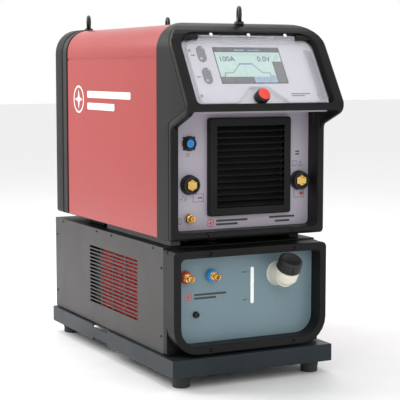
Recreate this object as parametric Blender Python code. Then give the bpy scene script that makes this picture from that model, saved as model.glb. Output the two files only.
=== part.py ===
"""TIG welding power source standing on its own water cooler, both on one base tray.

Metres, +Z up. The front faces -Y, and the whole machine is centred on x = 0 and y = 0
and stands on z = 0. Every named object is one closed solid.
"""
import math

import bmesh
import bpy
from mathutils import Matrix, Vector

GAP = 0.0003            # clearance between touching solids
LIP = 0.003             # rounding of the rims' edges
SHEET = 0.0025          # plastic and sheet-metal panels

# Driving sizes of the two boxes and the tray
HALF_W = 0.175          # bezels, half width
CORNER_R = 0.055        # rounded upper corners of the power source
RIM = 0.016             # width of the raised rims
TRAY = {"hw": 0.183, "y0": -0.307, "y1": 0.358, "z0": 0.025, "z1": 0.0605}
COOLER = {"front": -0.297, "side0": -0.2472, "back": 0.3555, "z0": 0.062, "z1": 0.2735,
          "panel": -0.264, "side_top": 0.276}
POWER = {"front": -0.285, "seam": -0.218, "rear0": 0.276, "back": 0.348,
         "z0": 0.291, "z1": 0.719, "panel": -0.247, "rear_panel": 0.330}

# Control head: a rim plane leaning back, seen here in its own frame (y inwards, z up the slope)
LEAN = math.radians(32.1)
HEAD_ORIGIN = (0.0, -0.358, 0.563)
HEAD_PANEL = 0.018      # depth of the control panel behind the rim plane
LID_AXIS = (0.004, 0.1520)

COLOURS = {
    "black_plastic": ((0.028, 0.029, 0.030), 0.45, 0.0),
    "tray_paint": ((0.070, 0.085, 0.100), 0.42, 0.1),
    "grey_paint": ((0.105, 0.105, 0.108), 0.38, 0.35),
    "red_paint": ((0.520, 0.045, 0.035), 0.48, 0.0),
    "panel_grey": ((0.560, 0.560, 0.640), 0.40, 0.0),
    "panel_blue": ((0.215, 0.290, 0.330), 0.40, 0.0),
    "rubber": ((0.012, 0.012, 0.012), 0.80, 0.0),
    "brass": ((0.720, 0.470, 0.160), 0.28, 1.0),
    "steel": ((0.560, 0.570, 0.580), 0.35, 1.0),
    "aluminium": ((0.700, 0.710, 0.720), 0.40, 1.0),
    "red_plastic": ((0.700, 0.045, 0.030), 0.35, 0.0),
    "blue_plastic": ((0.030, 0.120, 0.550), 0.35, 0.0),
    "cream_plastic": ((0.800, 0.780, 0.700), 0.40, 0.0),
    "clear_plastic": ((0.850, 0.870, 0.900), 0.12, 0.0),
    "screen": ((0.050, 0.060, 0.060), 0.15, 0.0),
    "grey_plastic": ((0.200, 0.205, 0.200), 0.45, 0.0),
}


# ---------------------------------------------------------------- building blocks

def material(slot):
    """The shared material of one slot."""
    found = bpy.data.materials.get(slot)
    if found:
        return found
    colour, roughness, metallic = COLOURS[slot]
    made = bpy.data.materials.new(slot)
    made.use_nodes = True
    shader = made.node_tree.nodes["Principled BSDF"]
    shader.inputs["Base Color"].default_value = (*colour, 1.0)
    shader.inputs["Roughness"].default_value = roughness
    shader.inputs["Metallic"].default_value = metallic
    made.diffuse_color = (*colour, 1.0)
    return made


def place(name, bm, slot, at=(0, 0, 0), turn=None, parent=None):
    """Turns a bmesh into a named object at a place, with its own material slot."""
    bmesh.ops.recalc_face_normals(bm, faces=bm.faces)
    mesh = bpy.data.meshes.new(name)
    bm.to_mesh(mesh)
    bm.free()
    mesh.materials.append(material(slot))
    mesh.shade_smooth()
    mesh.set_sharp_from_angle(angle=math.radians(35))
    obj = bpy.data.objects.new(name, mesh)
    bpy.context.scene.collection.objects.link(obj)
    obj.location = at
    if turn is not None:
        obj.rotation_euler = turn
    obj.parent = parent
    return obj


def combine(target, tool, operation="DIFFERENCE"):
    """Cuts, joins or intersects a solid with a tool given in the solid's own frame."""
    name = f"{target.name}_tool_{len(target.modifiers)}"
    helper = place(name, tool, "steel", parent=target)
    helper.hide_render = True
    helper.display_type = "WIRE"
    modifier = target.modifiers.new(name, "BOOLEAN")
    modifier.operation = operation
    modifier.object = helper
    return target


def loft(rings):
    """A closed solid through rings of points, with flat caps."""
    bm = bmesh.new()
    rows = [[bm.verts.new(point) for point in ring] for ring in rings]
    for low, high in zip(rows, rows[1:]):
        for i in range(len(low)):
            j = (i + 1) % len(low)
            bm.faces.new((low[i], low[j], high[j], high[i]))
    bm.faces.new(reversed(rows[0]))
    bm.faces.new(rows[-1])
    return bm


def box(low, high):
    """A block between two corners."""
    (x0, y0, z0), (x1, y1, z1) = low, high
    ring = [(x0, y0), (x1, y0), (x1, y1), (x0, y1)]
    return loft([[(x, y, z) for x, y in ring] for z in (z0, z1)])


def prism_y(outline, y0, y1):
    """An outline of (x, z) points extruded along Y."""
    return loft([[(x, y, z) for x, z in outline] for y in (y0, y1)])


def prism_x(outline, x0, x1, round_edge=0.0, steps=3):
    """An outline of (y, z) points extruded along X, with its end edges rounded."""
    stations = [(x0, 0.0), (x1, 0.0)]
    if round_edge:
        quarter = [math.pi / 2 * k / steps for k in range(steps + 1)]
        near = [(x0 + round_edge * (1 - math.sin(a)), round_edge * (1 - math.cos(a)))
                for a in reversed(quarter)]
        stations = near + [(x0 + x1 - x, inset) for x, inset in reversed(near)]
    rings = []
    for x, inset in stations:
        moved = inward(outline, inset) if inset else [Vector(p) for p in outline]
        rings.append([(x, p[0], p[1]) for p in moved])
    return loft(rings)


def inward(outline, distance):
    """Moves each side of a closed (u, v) outline inwards by a distance."""
    area = sum(a[0] * b[1] - b[0] * a[1] for a, b in zip(outline, outline[1:] + outline[:1]))
    side = 1 if area > 0 else -1
    moved = []
    count = len(outline)
    for i in range(count):
        before, here, after = (Vector(outline[(i + k) % count]) for k in (-1, 0, 1))
        first = (here - before).normalized()
        second = (after - here).normalized()
        normal_a = Vector((-first.y, first.x)) * side
        normal_b = Vector((-second.y, second.x)) * side
        mitre = (normal_a + normal_b).normalized()
        moved.append(here + mitre * (distance / max(mitre.dot(normal_a), 0.3)))
    return moved


def rounded(corners, radii, steps=6):
    """A closed outline whose corners are arcs of the given radii."""
    outline = []
    count = len(corners)
    for i, radius in enumerate(radii):
        here = Vector(corners[i])
        if radius == 0:
            outline.append(tuple(here))
            continue
        to_before = (Vector(corners[i - 1]) - here).normalized()
        to_after = (Vector(corners[(i + 1) % count]) - here).normalized()
        half = to_before.angle(to_after) / 2
        reach = radius / math.tan(half)
        centre = here + (to_before + to_after).normalized() * (radius / math.sin(half))
        start = here + to_before * reach - centre
        sweep = start.angle_signed(here + to_after * reach - centre)
        for k in range(steps + 1):
            angle = -sweep * k / steps
            cos, sin = math.cos(angle), math.sin(angle)
            outline.append((centre.x + start.x * cos - start.y * sin,
                            centre.y + start.x * sin + start.y * cos))
    return outline


def frame_outline(half_w, z0, z1, low_r, top_r, x=0.0, steps=6):
    """A rectangle of (x, z) points with rounded lower and upper corners."""
    corners = [(x - half_w, z0), (x + half_w, z0), (x + half_w, z1), (x - half_w, z1)]
    return rounded(corners, (low_r, low_r, top_r, top_r), steps)


def turned(profile, segments=22, closed=False):
    """A turned piece about +Z from (radius, height) points; a closed profile leaves a bore."""
    bm = bmesh.new()
    rows = []
    for radius, height in profile:
        row = []
        for k in range(segments):
            angle = 2 * math.pi * k / segments
            row.append(bm.verts.new((radius * math.cos(angle), radius * math.sin(angle), height)))
        rows.append(row)
    pairs = list(zip(rows, rows[1:]))
    if closed:
        pairs.append((rows[-1], rows[0]))
    else:
        bm.faces.new(rows[0])
        bm.faces.new(rows[-1])
    for low, high in pairs:
        for i in range(segments):
            j = (i + 1) % segments
            bm.faces.new((low[i], low[j], high[j], high[i]))
    return bm


def moved(bm, matrix):
    """The same bmesh, moved by a matrix."""
    bm.transform(matrix)
    return bm


def facing(direction, at=(0, 0, 0)):
    """The matrix that takes +Z to a direction and the origin to a point."""
    turn = Vector((0, 0, 1)).rotation_difference(Vector(direction)).to_matrix().to_4x4()
    return Matrix.Translation(at) @ turn


FRONT = (0, -1, 0)      # the way out of the front panels
BACK = (0, 1, 0)


def grid_plate(us, vs, is_hole, place_point):
    """A plate built on grid lines, open where is_hole(column, row) is true.

    place_point takes (u, v, side) with side 0 or 1 to a point.
    """
    bm = bmesh.new()
    corners = {}

    def corner(i, j, side):
        key = (i, j, side)
        if key not in corners:
            corners[key] = bm.verts.new(place_point(us[i], vs[j], side))
        return corners[key]

    columns, rows = len(us) - 1, len(vs) - 1
    filled = {(i, j) for i in range(columns) for j in range(rows) if not is_hole(i, j)}
    for i, j in filled:
        square = [(i, j), (i + 1, j), (i + 1, j + 1), (i, j + 1)]
        for side in (0, 1):
            bm.faces.new([corner(a, b, side) for a, b in square])
        neighbours = [(i, j - 1), (i + 1, j), (i, j + 1), (i - 1, j)]
        for k, neighbour in enumerate(neighbours):
            if neighbour not in filled:
                a, b = square[k], square[(k + 1) % 4]
                bm.faces.new((corner(*a, 0), corner(*b, 0), corner(*b, 1), corner(*a, 1)))
    return bm


def breaks(start, pitch, width, count, low, high):
    """Grid lines for a row of openings between two outer edges."""
    lines = [low]
    for k in range(count):
        lines += [start + k * pitch, start + k * pitch + width]
    return lines + [high]


def odd_cells(i, j):
    """The openings of a grid whose lines alternate solid and open."""
    return i % 2 == 1 and j % 2 == 1


# ---------------------------------------------------------------- base

def base_tray():
    """Folded steel tray, hollow below except for a block in each corner for its foot."""
    t = TRAY
    tray = place("base_tray", box((-t["hw"], t["y0"], t["z0"]), (t["hw"], t["y1"], t["z1"])),
                 "tray_paint")
    wall, block = 0.003, 0.062
    low, top = t["z0"] - 0.01, t["z1"] - wall
    combine(tray, box((-t["hw"] + block, t["y0"] + wall, low), (t["hw"] - block, t["y1"] - wall, top)))
    combine(tray, box((-t["hw"] + wall, t["y0"] + block, low - 0.001),
                      (t["hw"] - wall, t["y1"] - block, top - 0.0001)))
    for side in (-1, 1):
        x0, x1 = sorted((side * (t["hw"] - 0.006), side * (t["hw"] + 0.01)))
        combine(tray, box((x0, 0.025, t["z1"] - 0.006), (x1, 0.105, t["z1"] + 0.01)))
        combine(tray, box((x0, 0.025, low), (x1, 0.105, t["z0"] + 0.006)))


def feet():
    """Four rubber feet under the tray's corner blocks."""
    profile = [(0.0165, 0.0), (0.0190, 0.0025), (0.0175, TRAY["z0"] - GAP)]
    for name, x, y in (("fl", -1, TRAY["y0"]), ("fr", 1, TRAY["y0"]),
                       ("bl", -1, TRAY["y1"]), ("br", 1, TRAY["y1"])):
        inset = 0.034 if y < 0 else -0.034
        place(f"foot_{name}", turned(profile, 28), "rubber", (x * (TRAY["hw"] - 0.034), y + inset, 0))


# ---------------------------------------------------------------- water cooler

SLOT_ROWS, SLOT_COLUMNS = 16, 4


def cooler_sides():
    """Side panels with rows of short cooling slots."""
    c = COOLER
    ys = breaks(-0.121, 0.0654, 0.0630, SLOT_COLUMNS, c["side0"], c["back"])
    zs = breaks(0.108, 0.00815, 0.0048, SLOT_ROWS, c["z0"], c["side_top"])
    for name, side in (("l", -1), ("r", 1)):
        outer = side * HALF_W
        inner = side * (HALF_W - 0.0015)
        plate = grid_plate(ys, zs, odd_cells, lambda u, v, s: ((inner, outer)[s], u, v))
        place(f"cooler_side_{name}", plate, "grey_paint")


def cooler_bezel():
    """Front frame: a rectangular back plate carrying a raised rim with round lower corners."""
    c = COOLER
    plate_front = c["side0"] - 0.015
    bezel = place("cooler_bezel",
                  prism_y(frame_outline(HALF_W, c["z0"], c["z1"], 0.004, 0.006),
                          plate_front, c["side0"] - GAP), "black_plastic")
    rings = []
    for y, inset in rounded_lip(c["front"], plate_front + 0.004, LIP):
        outline = frame_outline(HALF_W - inset, c["z0"] + 0.002 + inset, c["z1"] - 0.0002 - inset,
                                CORNER_R - inset, 0.010 - inset / 2)
        rings.append([(x, y, z) for x, z in outline])
    combine(bezel, loft(rings), "UNION")
    rings = []
    for y, inset in rounded_lip(c["front"] - 0.0005, c["side0"] + 0.01, LIP):
        hw = HALF_W - RIM + inset
        outline = frame_outline(hw, c["z0"] + 0.02 - inset, c["z1"] - RIM + inset,
                                0.038 + inset, 0.010 + inset)
        rings.append([(x, y, z) for x, z in outline])
    combine(bezel, loft(rings))
    for x in (-0.096, 0.096):
        for z in (c["z0"] + 0.0105, c["z1"] - 0.009):
            combine(bezel, moved(turned([(0.0042, 0), (0.0042, 0.02)], 20),
                                 facing(FRONT, (x, c["front"] + 0.007, z))))


def rounded_lip(front, back, radius, steps=3):
    """(y, inset) stations that round a rim's front edge by a quarter circle."""
    stations = []
    for k in range(steps + 1):
        angle = math.pi / 2 * k / steps
        stations.append((front + radius * (1 - math.cos(angle)), radius * (1 - math.sin(angle))))
    return stations + [(back, 0.0)]


LEVEL_X, LEVEL_Z, LEVEL_HALF = 0.017, (0.152, 0.228), 0.004
NECK_X = 0.076


def cooler_front_panel():
    """Recessed panel of the cooler with the level slot and the holes behind its fittings."""
    c = COOLER
    outline = frame_outline(HALF_W - RIM - GAP, c["z0"] + 0.02 + GAP, c["z1"] - RIM - GAP, 0.0377, 0.0097)
    panel = place("cooler_front_panel", prism_y(outline, c["panel"], c["panel"] + SHEET), "panel_blue")
    slot = frame_outline(LEVEL_HALF, *LEVEL_Z, LEVEL_HALF - 0.0001, LEVEL_HALF - 0.0001, LEVEL_X, steps=4)
    combine(panel, prism_y(slot, c["panel"] - 0.01, c["panel"] + 0.02))
    for x, z, radius in ((NECK_X, NECK_Z, 0.0243), (-0.136, COUPLING_Z, 0.0073),
                         (-0.078, COUPLING_Z, 0.0073), (FUSE[0], FUSE[1], 0.0053)):
        combine(panel, moved(turned([(radius, 0), (radius, 0.03)], 20),
                             facing(FRONT, (x, c["panel"] + 0.015, z))))


NECK_Z, COUPLING_Z, FUSE = 0.211, 0.2175, (-0.112, 0.140)


def level_window():
    """Clear strip filling the level slot."""
    y = COOLER["panel"]
    half = LEVEL_HALF - GAP
    window = frame_outline(half, LEVEL_Z[0] + GAP, LEVEL_Z[1] - GAP, half - 0.0001, half - 0.0001,
                           LEVEL_X, steps=4)
    place("level_window", prism_y(window, y - 0.0005, y + 0.006), "clear_plastic")


def tank():
    """Coolant tank behind the panel, open where the filler neck enters."""
    tank_body = place("tank", box((0.004, -0.2468, 0.070), (0.158, -0.060, 0.262)), "cream_plastic")
    combine(tank_body, box((0.007, -0.2438, 0.073), (0.155, -0.063, 0.259)))
    combine(tank_body, moved(turned([(0.020, 0), (0.020, 0.02)], 20), facing(FRONT, (NECK_X, -0.238, NECK_Z))))


# Filler: an elbow out of the panel, then a threaded spout tilted up and forwards
SPOUT_RISE = math.radians(60)
TILT = Vector((0, -math.cos(SPOUT_RISE), math.sin(SPOUT_RISE)))
ELBOW = Vector((NECK_X, -0.3025, NECK_Z + 0.005))


def filler():
    """Elbowed neck, the seal that slides off it and the ribbed cap that turns."""
    neck = place("filler_neck", moved(turned([(0.0240, 0), (0.0240, 0.0530)], 24),
                                      facing(FRONT, (NECK_X, -0.2472, NECK_Z))), "cream_plastic")
    combine(neck, moved(turned([(0.0256, 0), (0.0256, 0.003), (0.0246, 0.004)], 24),
                        facing(FRONT, (NECK_X, COOLER["panel"] - GAP, NECK_Z))), "UNION")
    spout = [(0.0150, -0.022), (0.0215, -0.018), (0.0235, -0.010), (0.0235, 0.0110), (0.0185, 0.0112),
             (0.0185, 0.0270)]
    combine(neck, moved(turned(spout, 24), facing(TILT, ELBOW)), "UNION")
    combine(neck, moved(turned([(0.0150, -0.0100), (0.0150, 0.05)], 20), facing(TILT, ELBOW)))
    combine(neck, moved(turned([(0.0155, -0.004), (0.0155, 0.0510)], 20),
                        facing(FRONT, (NECK_X, -0.2430, NECK_Z))))

    turn = facing(TILT).to_euler()
    place("filler_seal", turned([(0.0170, 0.0274), (0.0170, 0.0304)], 22), "rubber", ELBOW, turn)
    cap = place("filler_cap", turned([(0.0195, 0.0125), (0.0240, 0.0125), (0.0240, 0.0330), (0.0215, 0.0355),
                                      (0.0005, 0.0355), (0.0005, 0.0308), (0.0195, 0.0308)], 20, closed=True),
                "black_plastic", ELBOW, turn)
    combine(cap, moved(turned([(0.004, 0.0309), (0.004, 0.0350)], 12), Matrix.Identity(4)), "UNION")
    ribs = bmesh.new()
    count = 20
    for k in range(count):
        angle = 2 * math.pi * k / count
        rib = box((0.0232, -0.0022, 0.0130), (0.0252, 0.0022, 0.0330))
        rib.transform(Matrix.Rotation(angle, 4, "Z"))
        add_to(ribs, rib)
    combine(cap, ribs, "UNION")


def add_to(whole, part):
    """Copies one bmesh into another."""
    mesh = bpy.data.meshes.new("joined")
    part.to_mesh(mesh)
    part.free()
    whole.from_mesh(mesh)
    bpy.data.meshes.remove(mesh)


def couplings():
    """Water couplings: a brass nipple and a coloured release sleeve that slides on it."""
    y = COOLER["panel"] - GAP
    for name, x in (("red", -0.136), ("blue", -0.078)):
        at = (x, y, COUPLING_Z)
        turn = facing(FRONT).to_euler()
        nipple = [(0.0070, -0.012), (0.0070, 0.0), (0.0085, 0.0), (0.0085, 0.0200), (0.0062, 0.0205),
                  (0.0062, 0.0310), (0.0052, 0.0320), (0.0042, 0.0320), (0.0042, -0.012)]
        place(f"coupling_{name}_body", turned(nipple, 20, closed=True), "brass", at, turn)
        sleeve = [(0.0089, 0.0036), (0.0122, 0.0036), (0.0128, 0.0046), (0.0126, 0.0070), (0.0112, 0.0126),
                  (0.0089, 0.0126)]
        place(f"coupling_{name}_sleeve", turned(sleeve, 20, closed=True), f"{name}_plastic", at, turn)


def fuse():
    """Panel fuse holder and its quarter-turn cap."""
    at = (FUSE[0], COOLER["panel"] - GAP, FUSE[1])
    turn = facing(FRONT).to_euler()
    holder = [(0.0050, -0.022), (0.0050, 0.0), (0.0066, 0.0), (0.0066, 0.0018), (0.0056, 0.0020),
              (0.0056, 0.0034), (0.0036, 0.0034), (0.0036, -0.022)]
    place("fuse_holder", turned(holder, 20, closed=True), "black_plastic", at, turn)
    knob = [(0.0032, -0.018), (0.0032, 0.0038), (0.0058, 0.0038), (0.0058, 0.0070), (0.0050, 0.0078)]
    cap = place("fuse_cap", turned(knob, 24), "black_plastic", at, turn)
    combine(cap, box((-0.0045, -0.0006, 0.0066), (0.0045, 0.0006, 0.0100)))


def cooler_inside():
    """Pump, radiator and the cooler's fan."""
    pump = place("pump", moved(turned([(0.036, 0), (0.036, 0.105), (0.044, 0.1055), (0.044, 0.135),
                                       (0.020, 0.1355), (0.020, 0.150)], 22),
                               facing(FRONT, (-0.085, -0.060, 0.125))), "steel")
    combine(pump, box((-0.125, -0.190, TRAY["z1"] + GAP), (-0.045, -0.080, 0.095)), "UNION")
    core = place("radiator", box((-0.140, 0.175, 0.0625), (0.140, 0.225, 0.255)), "aluminium")
    channel = bmesh.new()
    for k in range(9):
        z = 0.082 + k * 0.019
        add_to(channel, box((-0.120, 0.165, z), (0.120, 0.235, z + 0.011)))
    combine(core, channel)
    fan("cooler_fan", (0.0, 0.250, 0.158))


def fan(name, centre, across=0.120, depth=0.025):
    """A square axial fan blowing along Y: a frame with struts and a bladed rotor."""
    half = across / 2
    at = Vector(centre)
    frame = place(f"{name}_frame", box((-half, 0, -half), (half, depth, half)), "black_plastic", at)
    combine(frame, moved(turned([(half - 0.004, -0.01), (half - 0.004, depth + 0.01)], 28), facing(BACK)))
    star = turned([(0.0200, 0), (0.0200, 0.003)], 24)
    for k in range(3):
        strut = box((0.010, -0.003, 0), (half - 0.001, 0.003, 0.003))
        strut.transform(Matrix.Rotation(2 * math.pi * k / 3 + 0.3, 4, "Z"))
        add_to(star, strut)
    combine(frame, moved(star, facing(BACK, (0, depth - 0.004, 0))), "UNION").modifiers[-1].use_self = True
    rotor = place(f"{name}_rotor", turned([(0.0180, 0.0), (0.0200, 0.002), (0.0200, 0.0185)], 20),
                  "black_plastic", at, facing(BACK).to_euler())
    blades = bmesh.new()
    for k in range(7):
        blade = box((0.0170, -0.0105, -0.0008), (half - 0.0065, 0.0105, 0.0008))
        blade.transform(Matrix.Rotation(math.radians(38), 4, "X"))
        blade.transform(Matrix.Translation((0, 0, 0.0105)))
        blade.transform(Matrix.Rotation(2 * math.pi * k / 7, 4, "Z"))
        add_to(blades, blade)
    combine(rotor, blades, "UNION")


def cooler_shell():
    """Rear panel with outlet slots, and the top plate."""
    c = COOLER
    inner = HALF_W - 0.0015 - GAP
    xs = breaks(-0.060, 0.0405, 0.0390, 3, -inner, inner)
    zs = breaks(0.104, 0.012, 0.006, 9, c["z0"], c["z1"])
    y = c["back"] - 0.004
    plate = grid_plate(xs, zs, odd_cells, lambda u, v, s: (u, y + 0.0015 * s, v))
    place("cooler_rear_panel", plate, "grey_paint")
    place("cooler_top", box((-inner, c["side0"], c["z1"] + GAP), (inner, c["back"] - 0.001, c["z1"] + 0.0022)),
          "black_plastic")


def spacers():
    """Rails and rear blocks that hold the power source clear of the cooler."""
    z0, z1 = COOLER["z1"] + 0.0022 + GAP, POWER["z0"] - GAP
    for name, side in (("l", -1), ("r", 1)):
        for part, y0, y1, inset in (("front", -0.225, 0.100, 0.026), ("rear", 0.150, 0.240, 0.040)):
            x0, x1 = sorted((side * (HALF_W - inset), side * (HALF_W - inset - 0.022)))
            place(f"spacer_{part}_{name}", box((x0, y0, z0), (x1, y1, z1)), "grey_plastic")


# ---------------------------------------------------------------- power source

def power_floor():
    """Steel floor of the power source inside its cover."""
    place("power_floor", box((-0.1688, POWER["seam"] + 0.0003, POWER["z0"]),
                             (0.1688, POWER["rear0"] - 0.0003, POWER["z0"] + 0.003)), "steel")


def cover_outline(inset):
    """Outline of the painted cover, inset from its outer face."""
    hw, top = 0.172 - inset, POWER["z1"] - 0.0025 - inset
    return frame_outline(hw, POWER["z0"] + 0.002, top, 0.0, 0.052 - inset, steps=8)


def power_cover():
    """Bent sheet cover with round shoulders and a shallow groove pressed along each side."""
    y0, y1 = POWER["seam"] + GAP, POWER["rear0"] - 0.0030
    cover = place("power_cover", prism_y(cover_outline(0.0), y0, y1), "red_paint")
    inner = frame_outline(0.1692, POWER["z0"] - 0.02, POWER["z1"] - 0.0053, 0.0, 0.0492, steps=8)
    combine(cover, prism_y(inner, y0 - 0.01, y1 + 0.01))
    for side in (-1, 1):
        x0, x1 = sorted((side * 0.1709, side * 0.180))
        combine(cover, box((x0, y0 - 0.01, 0.6470), (x1, y1 + 0.01, 0.6520)))


EYE_SEAT_Z = POWER["z1"] - 0.0025
EYE_BOLTS = {"front": (0.0, -0.236), "rear_l": (-0.103, 0.312), "rear_r": (0.103, 0.312)}


def eye_seat(target, name):
    """A round seat cut into a bezel for an eye bolt's flange."""
    x, y = EYE_BOLTS[name]
    combine(target, moved(turned([(0.0104, 0), (0.0104, 0.03)], 20), Matrix.Translation((x, y, EYE_SEAT_Z))))


def power_bezel():
    """Front frame: straight cheeks, then a head that juts out and leans back to the roof."""
    p = POWER
    behind = p["seam"] + 0.03
    side = rounded([(behind, p["z0"]), (p["front"], p["z0"]), (p["front"], 0.514), (-0.3677, 0.547),
                    (-0.2600, p["z1"]), (behind, p["z1"])],
                   (0, 0.010, 0.012, 0.020, 0.070, 0), steps=6)
    bezel = place("power_bezel", prism_x(side, -HALF_W, HALF_W, 0.005), "black_plastic")
    outline = frame_outline(HALF_W + 0.0001, p["z0"] - 0.0001, p["z1"] + 0.0001, 0.006, CORNER_R, steps=8)
    combine(bezel, prism_y(outline, -0.45, p["seam"]), "INTERSECT")
    cavity = frame_outline(HALF_W - 0.012, p["z0"] + 0.015, p["z1"] - 0.012, 0.004, CORNER_R - 0.012)
    combine(bezel, prism_y(cavity, p["panel"] + SHEET + GAP, p["seam"] + 0.02))
    rings = []
    for y, inset in [(-0.42, LIP)] + rounded_lip(p["front"], p["seam"] + 0.021, LIP):
        outline = frame_outline(HALF_W - RIM + inset, p["z0"] + 0.016 - inset, 0.547, 0.010 + inset, 0.004)
        rings.append([(x, y, z) for x, z in outline])
    combine(bezel, loft(rings))
    combine(bezel, moved(head_opening(), head_matrix()))
    for x in (-0.097, 0.097):
        combine(bezel, moved(turned([(0.0042, 0), (0.0042, 0.02)], 20),
                             facing(FRONT, (x, p["front"] + 0.010, p["z0"] + 0.008))))
    eye_seat(bezel, "front")


def head_matrix():
    """From the control head's own frame to the machine's."""
    return Matrix.Translation(HEAD_ORIGIN) @ Matrix.Rotation(-LEAN, 4, "X")


def head_opening():
    """The opening for the control panel, wider at its front edge."""
    rings = []
    for y, inset in [(-0.05, 0.005)] + rounded_lip(0.0, 0.075, 0.005):
        outline = frame_outline(0.1525 + inset, -inset * 0.4, 0.163 + inset, 0.008 + inset, 0.036 + inset)
        rings.append([(x, y, z) for x, z in outline])
    return loft(rings)


GRILLE = {"x0": -0.078, "x1": 0.110, "z0": 0.334, "z1": 0.531, "rim": 0.0165, "depth": 0.013}
WELD_SOCKETS = {"neg": -0.118, "pos": 0.135}
WELD_Z = 0.399


def power_front_panel():
    """Recessed front panel with a ledge under the control head and an air opening."""
    p, g = POWER, GRILLE
    hw = HALF_W - RIM - GAP
    outline = frame_outline(hw, p["z0"] + 0.0163, 0.5465, 0.0097, 0.0037)
    panel = place("power_front_panel", prism_y(outline, p["panel"], p["panel"] + SHEET), "panel_grey")
    combine(panel, box((0.005 - hw, -0.326, 0.5425), (hw - 0.005, p["panel"] + 0.002, 0.5455)), "UNION")
    combine(panel, box((g["x0"] + g["rim"], p["panel"] - 0.01, g["z0"] + g["rim"]),
                       (g["x1"] - g["rim"], p["panel"] + 0.02, g["z1"] - g["rim"])))
    for x in WELD_SOCKETS.values():
        combine(panel, moved(turned([(0.0165, 0), (0.0165, 0.03)], 20),
                             facing(FRONT, (x, p["panel"] + 0.015, WELD_Z))))


def louvre_grille():
    """Raised frame with slanted louvres, the air outlet of the power source."""
    g = GRILLE
    front = POWER["panel"] - GAP - g["depth"]
    mid_x, mid_z = (g["x0"] + g["x1"]) / 2, (g["z0"] + g["z1"]) / 2
    half_x, half_z = (g["x1"] - g["x0"]) / 2, (g["z1"] - g["z0"]) / 2
    rings = []
    for y, inset in rounded_lip(front, POWER["panel"] - GAP, 0.003):
        outline = frame_outline(half_x - inset, mid_z - half_z + inset, mid_z + half_z - inset,
                                0.005, 0.005, mid_x, steps=3)
        rings.append([(x, y, z) for x, z in outline])
    frame = place("louvre_grille", loft(rings), "black_plastic")
    inner_x, inner_z = half_x - g["rim"], half_z - g["rim"]
    combine(frame, box((mid_x - inner_x, front - 0.01, mid_z - inner_z),
                       (mid_x + inner_x, front + 0.03, mid_z + inner_z)))
    slats = bmesh.new()
    count = 13
    pitch = 2 * inner_z / count
    for k in range(count):
        slat = box((-inner_x - 0.002, -0.0068, -0.0010), (inner_x + 0.002, 0.0068, 0.0010))
        slat.transform(Matrix.Rotation(math.radians(40), 4, "X"))
        slat.transform(Matrix.Translation((mid_x, front + 0.0064, mid_z - inner_z + pitch * (k + 0.5))))
        add_to(slats, slat)
    combine(frame, slats, "UNION")


def weld_sockets():
    """Welding current sockets: a black collar around a brass hexagon with a bore."""
    y = POWER["panel"] - GAP
    turn = facing(FRONT).to_euler()
    for name, x in WELD_SOCKETS.items():
        at = (x, y, WELD_Z)
        collar = [(0.0135, 0), (0.0200, 0), (0.0200, 0.0035), (0.0182, 0.0050), (0.0175, 0.0140),
                  (0.0165, 0.0155), (0.0145, 0.0155), (0.0135, 0.0145)]
        place(f"weld_socket_{name}", turned(collar, 20, closed=True), "black_plastic", at, turn)
        hexagon = [(0.0127, -0.030), (0.0127, 0.0150), (0.0118, 0.0160), (0.0072, 0.0160)]
        insert = place(f"weld_insert_{name}", turned(hexagon, 6), "brass", at, turn)
        combine(insert, turned([(0.0065, -0.022), (0.0065, 0.030)], 20))


def small_fittings():
    """Remote-control socket and shielding-gas outlet."""
    y = POWER["panel"] - GAP
    turn = facing(FRONT).to_euler()
    shell = [(0.0085, 0.0), (0.0150, 0.0), (0.0150, 0.0028), (0.0122, 0.0032), (0.0118, 0.0105),
             (0.0100, 0.0110), (0.0085, 0.0100)]
    place("remote_socket", turned(shell, 22, closed=True), "black_plastic", (-0.118, y, 0.481), turn)
    gas = place("gas_outlet", turned([(0.0098, 0), (0.0098, 0.0075), (0.0088, 0.0085)], 6), "brass",
                (-0.119, y, 0.332), turn)
    combine(gas, turned([(0.0062, 0.004), (0.0062, 0.0190), (0.0055, 0.0200)], 24), "UNION")
    combine(gas, turned([(0.0034, 0.006), (0.0034, 0.030)], 20))


# ---------------------------------------------------------------- control head

DISPLAY = {"x0": -0.079, "x1": 0.071, "z0": 0.054, "z1": 0.138}
KNOB_X, KNOB_Z = -0.006, 0.0185
NOTCH = {"low": 0.057, "high": 0.020, "top": 0.039}
PORTS = {"top": 0.121, "bottom": 0.0715}


def control_head():
    """Everything on the leaning panel, built in the head's own frame."""
    head = bpy.data.objects.new("head_frame", None)
    bpy.context.scene.collection.objects.link(head)
    head.location = HEAD_ORIGIN
    head.rotation_euler = (-LEAN, 0, 0)
    d, y = DISPLAY, HEAD_PANEL

    outline = frame_outline(0.1500, 0.0022, 0.160, 0.006, 0.034)
    panel = place("head_panel", prism_y(outline, y, y + SHEET), "panel_grey", parent=head)
    combine(panel, box((d["x0"] - GAP, 0, d["z0"] - GAP), (d["x1"] + GAP, 0.05, d["z1"] + GAP)))
    combine(panel, moved(turned([(0.0042, 0), (0.0042, 0.03)], 20), facing(FRONT, (KNOB_X, y + 0.015, KNOB_Z))))

    place("display", prism_y(frame_outline((d["x1"] - d["x0"]) / 2, d["z0"], d["z1"], 0.002, 0.002,
                                           (d["x0"] + d["x1"]) / 2, steps=2), y + 0.0003, y + 0.012),
          "screen", parent=head)
    for name, z in PORTS.items():
        outline = rounded([(-0.009, -0.018), (0.009, -0.018), (0.009, 0.018), (-0.009, 0.018)],
                          (0.006,) * 4, steps=1)
        place(f"port_cover_{name}", prism_y(outline, -0.0022, -GAP), "grey_plastic",
              (-0.107, y, z), parent=head)
    encoder(head)
    lid(head)


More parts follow.
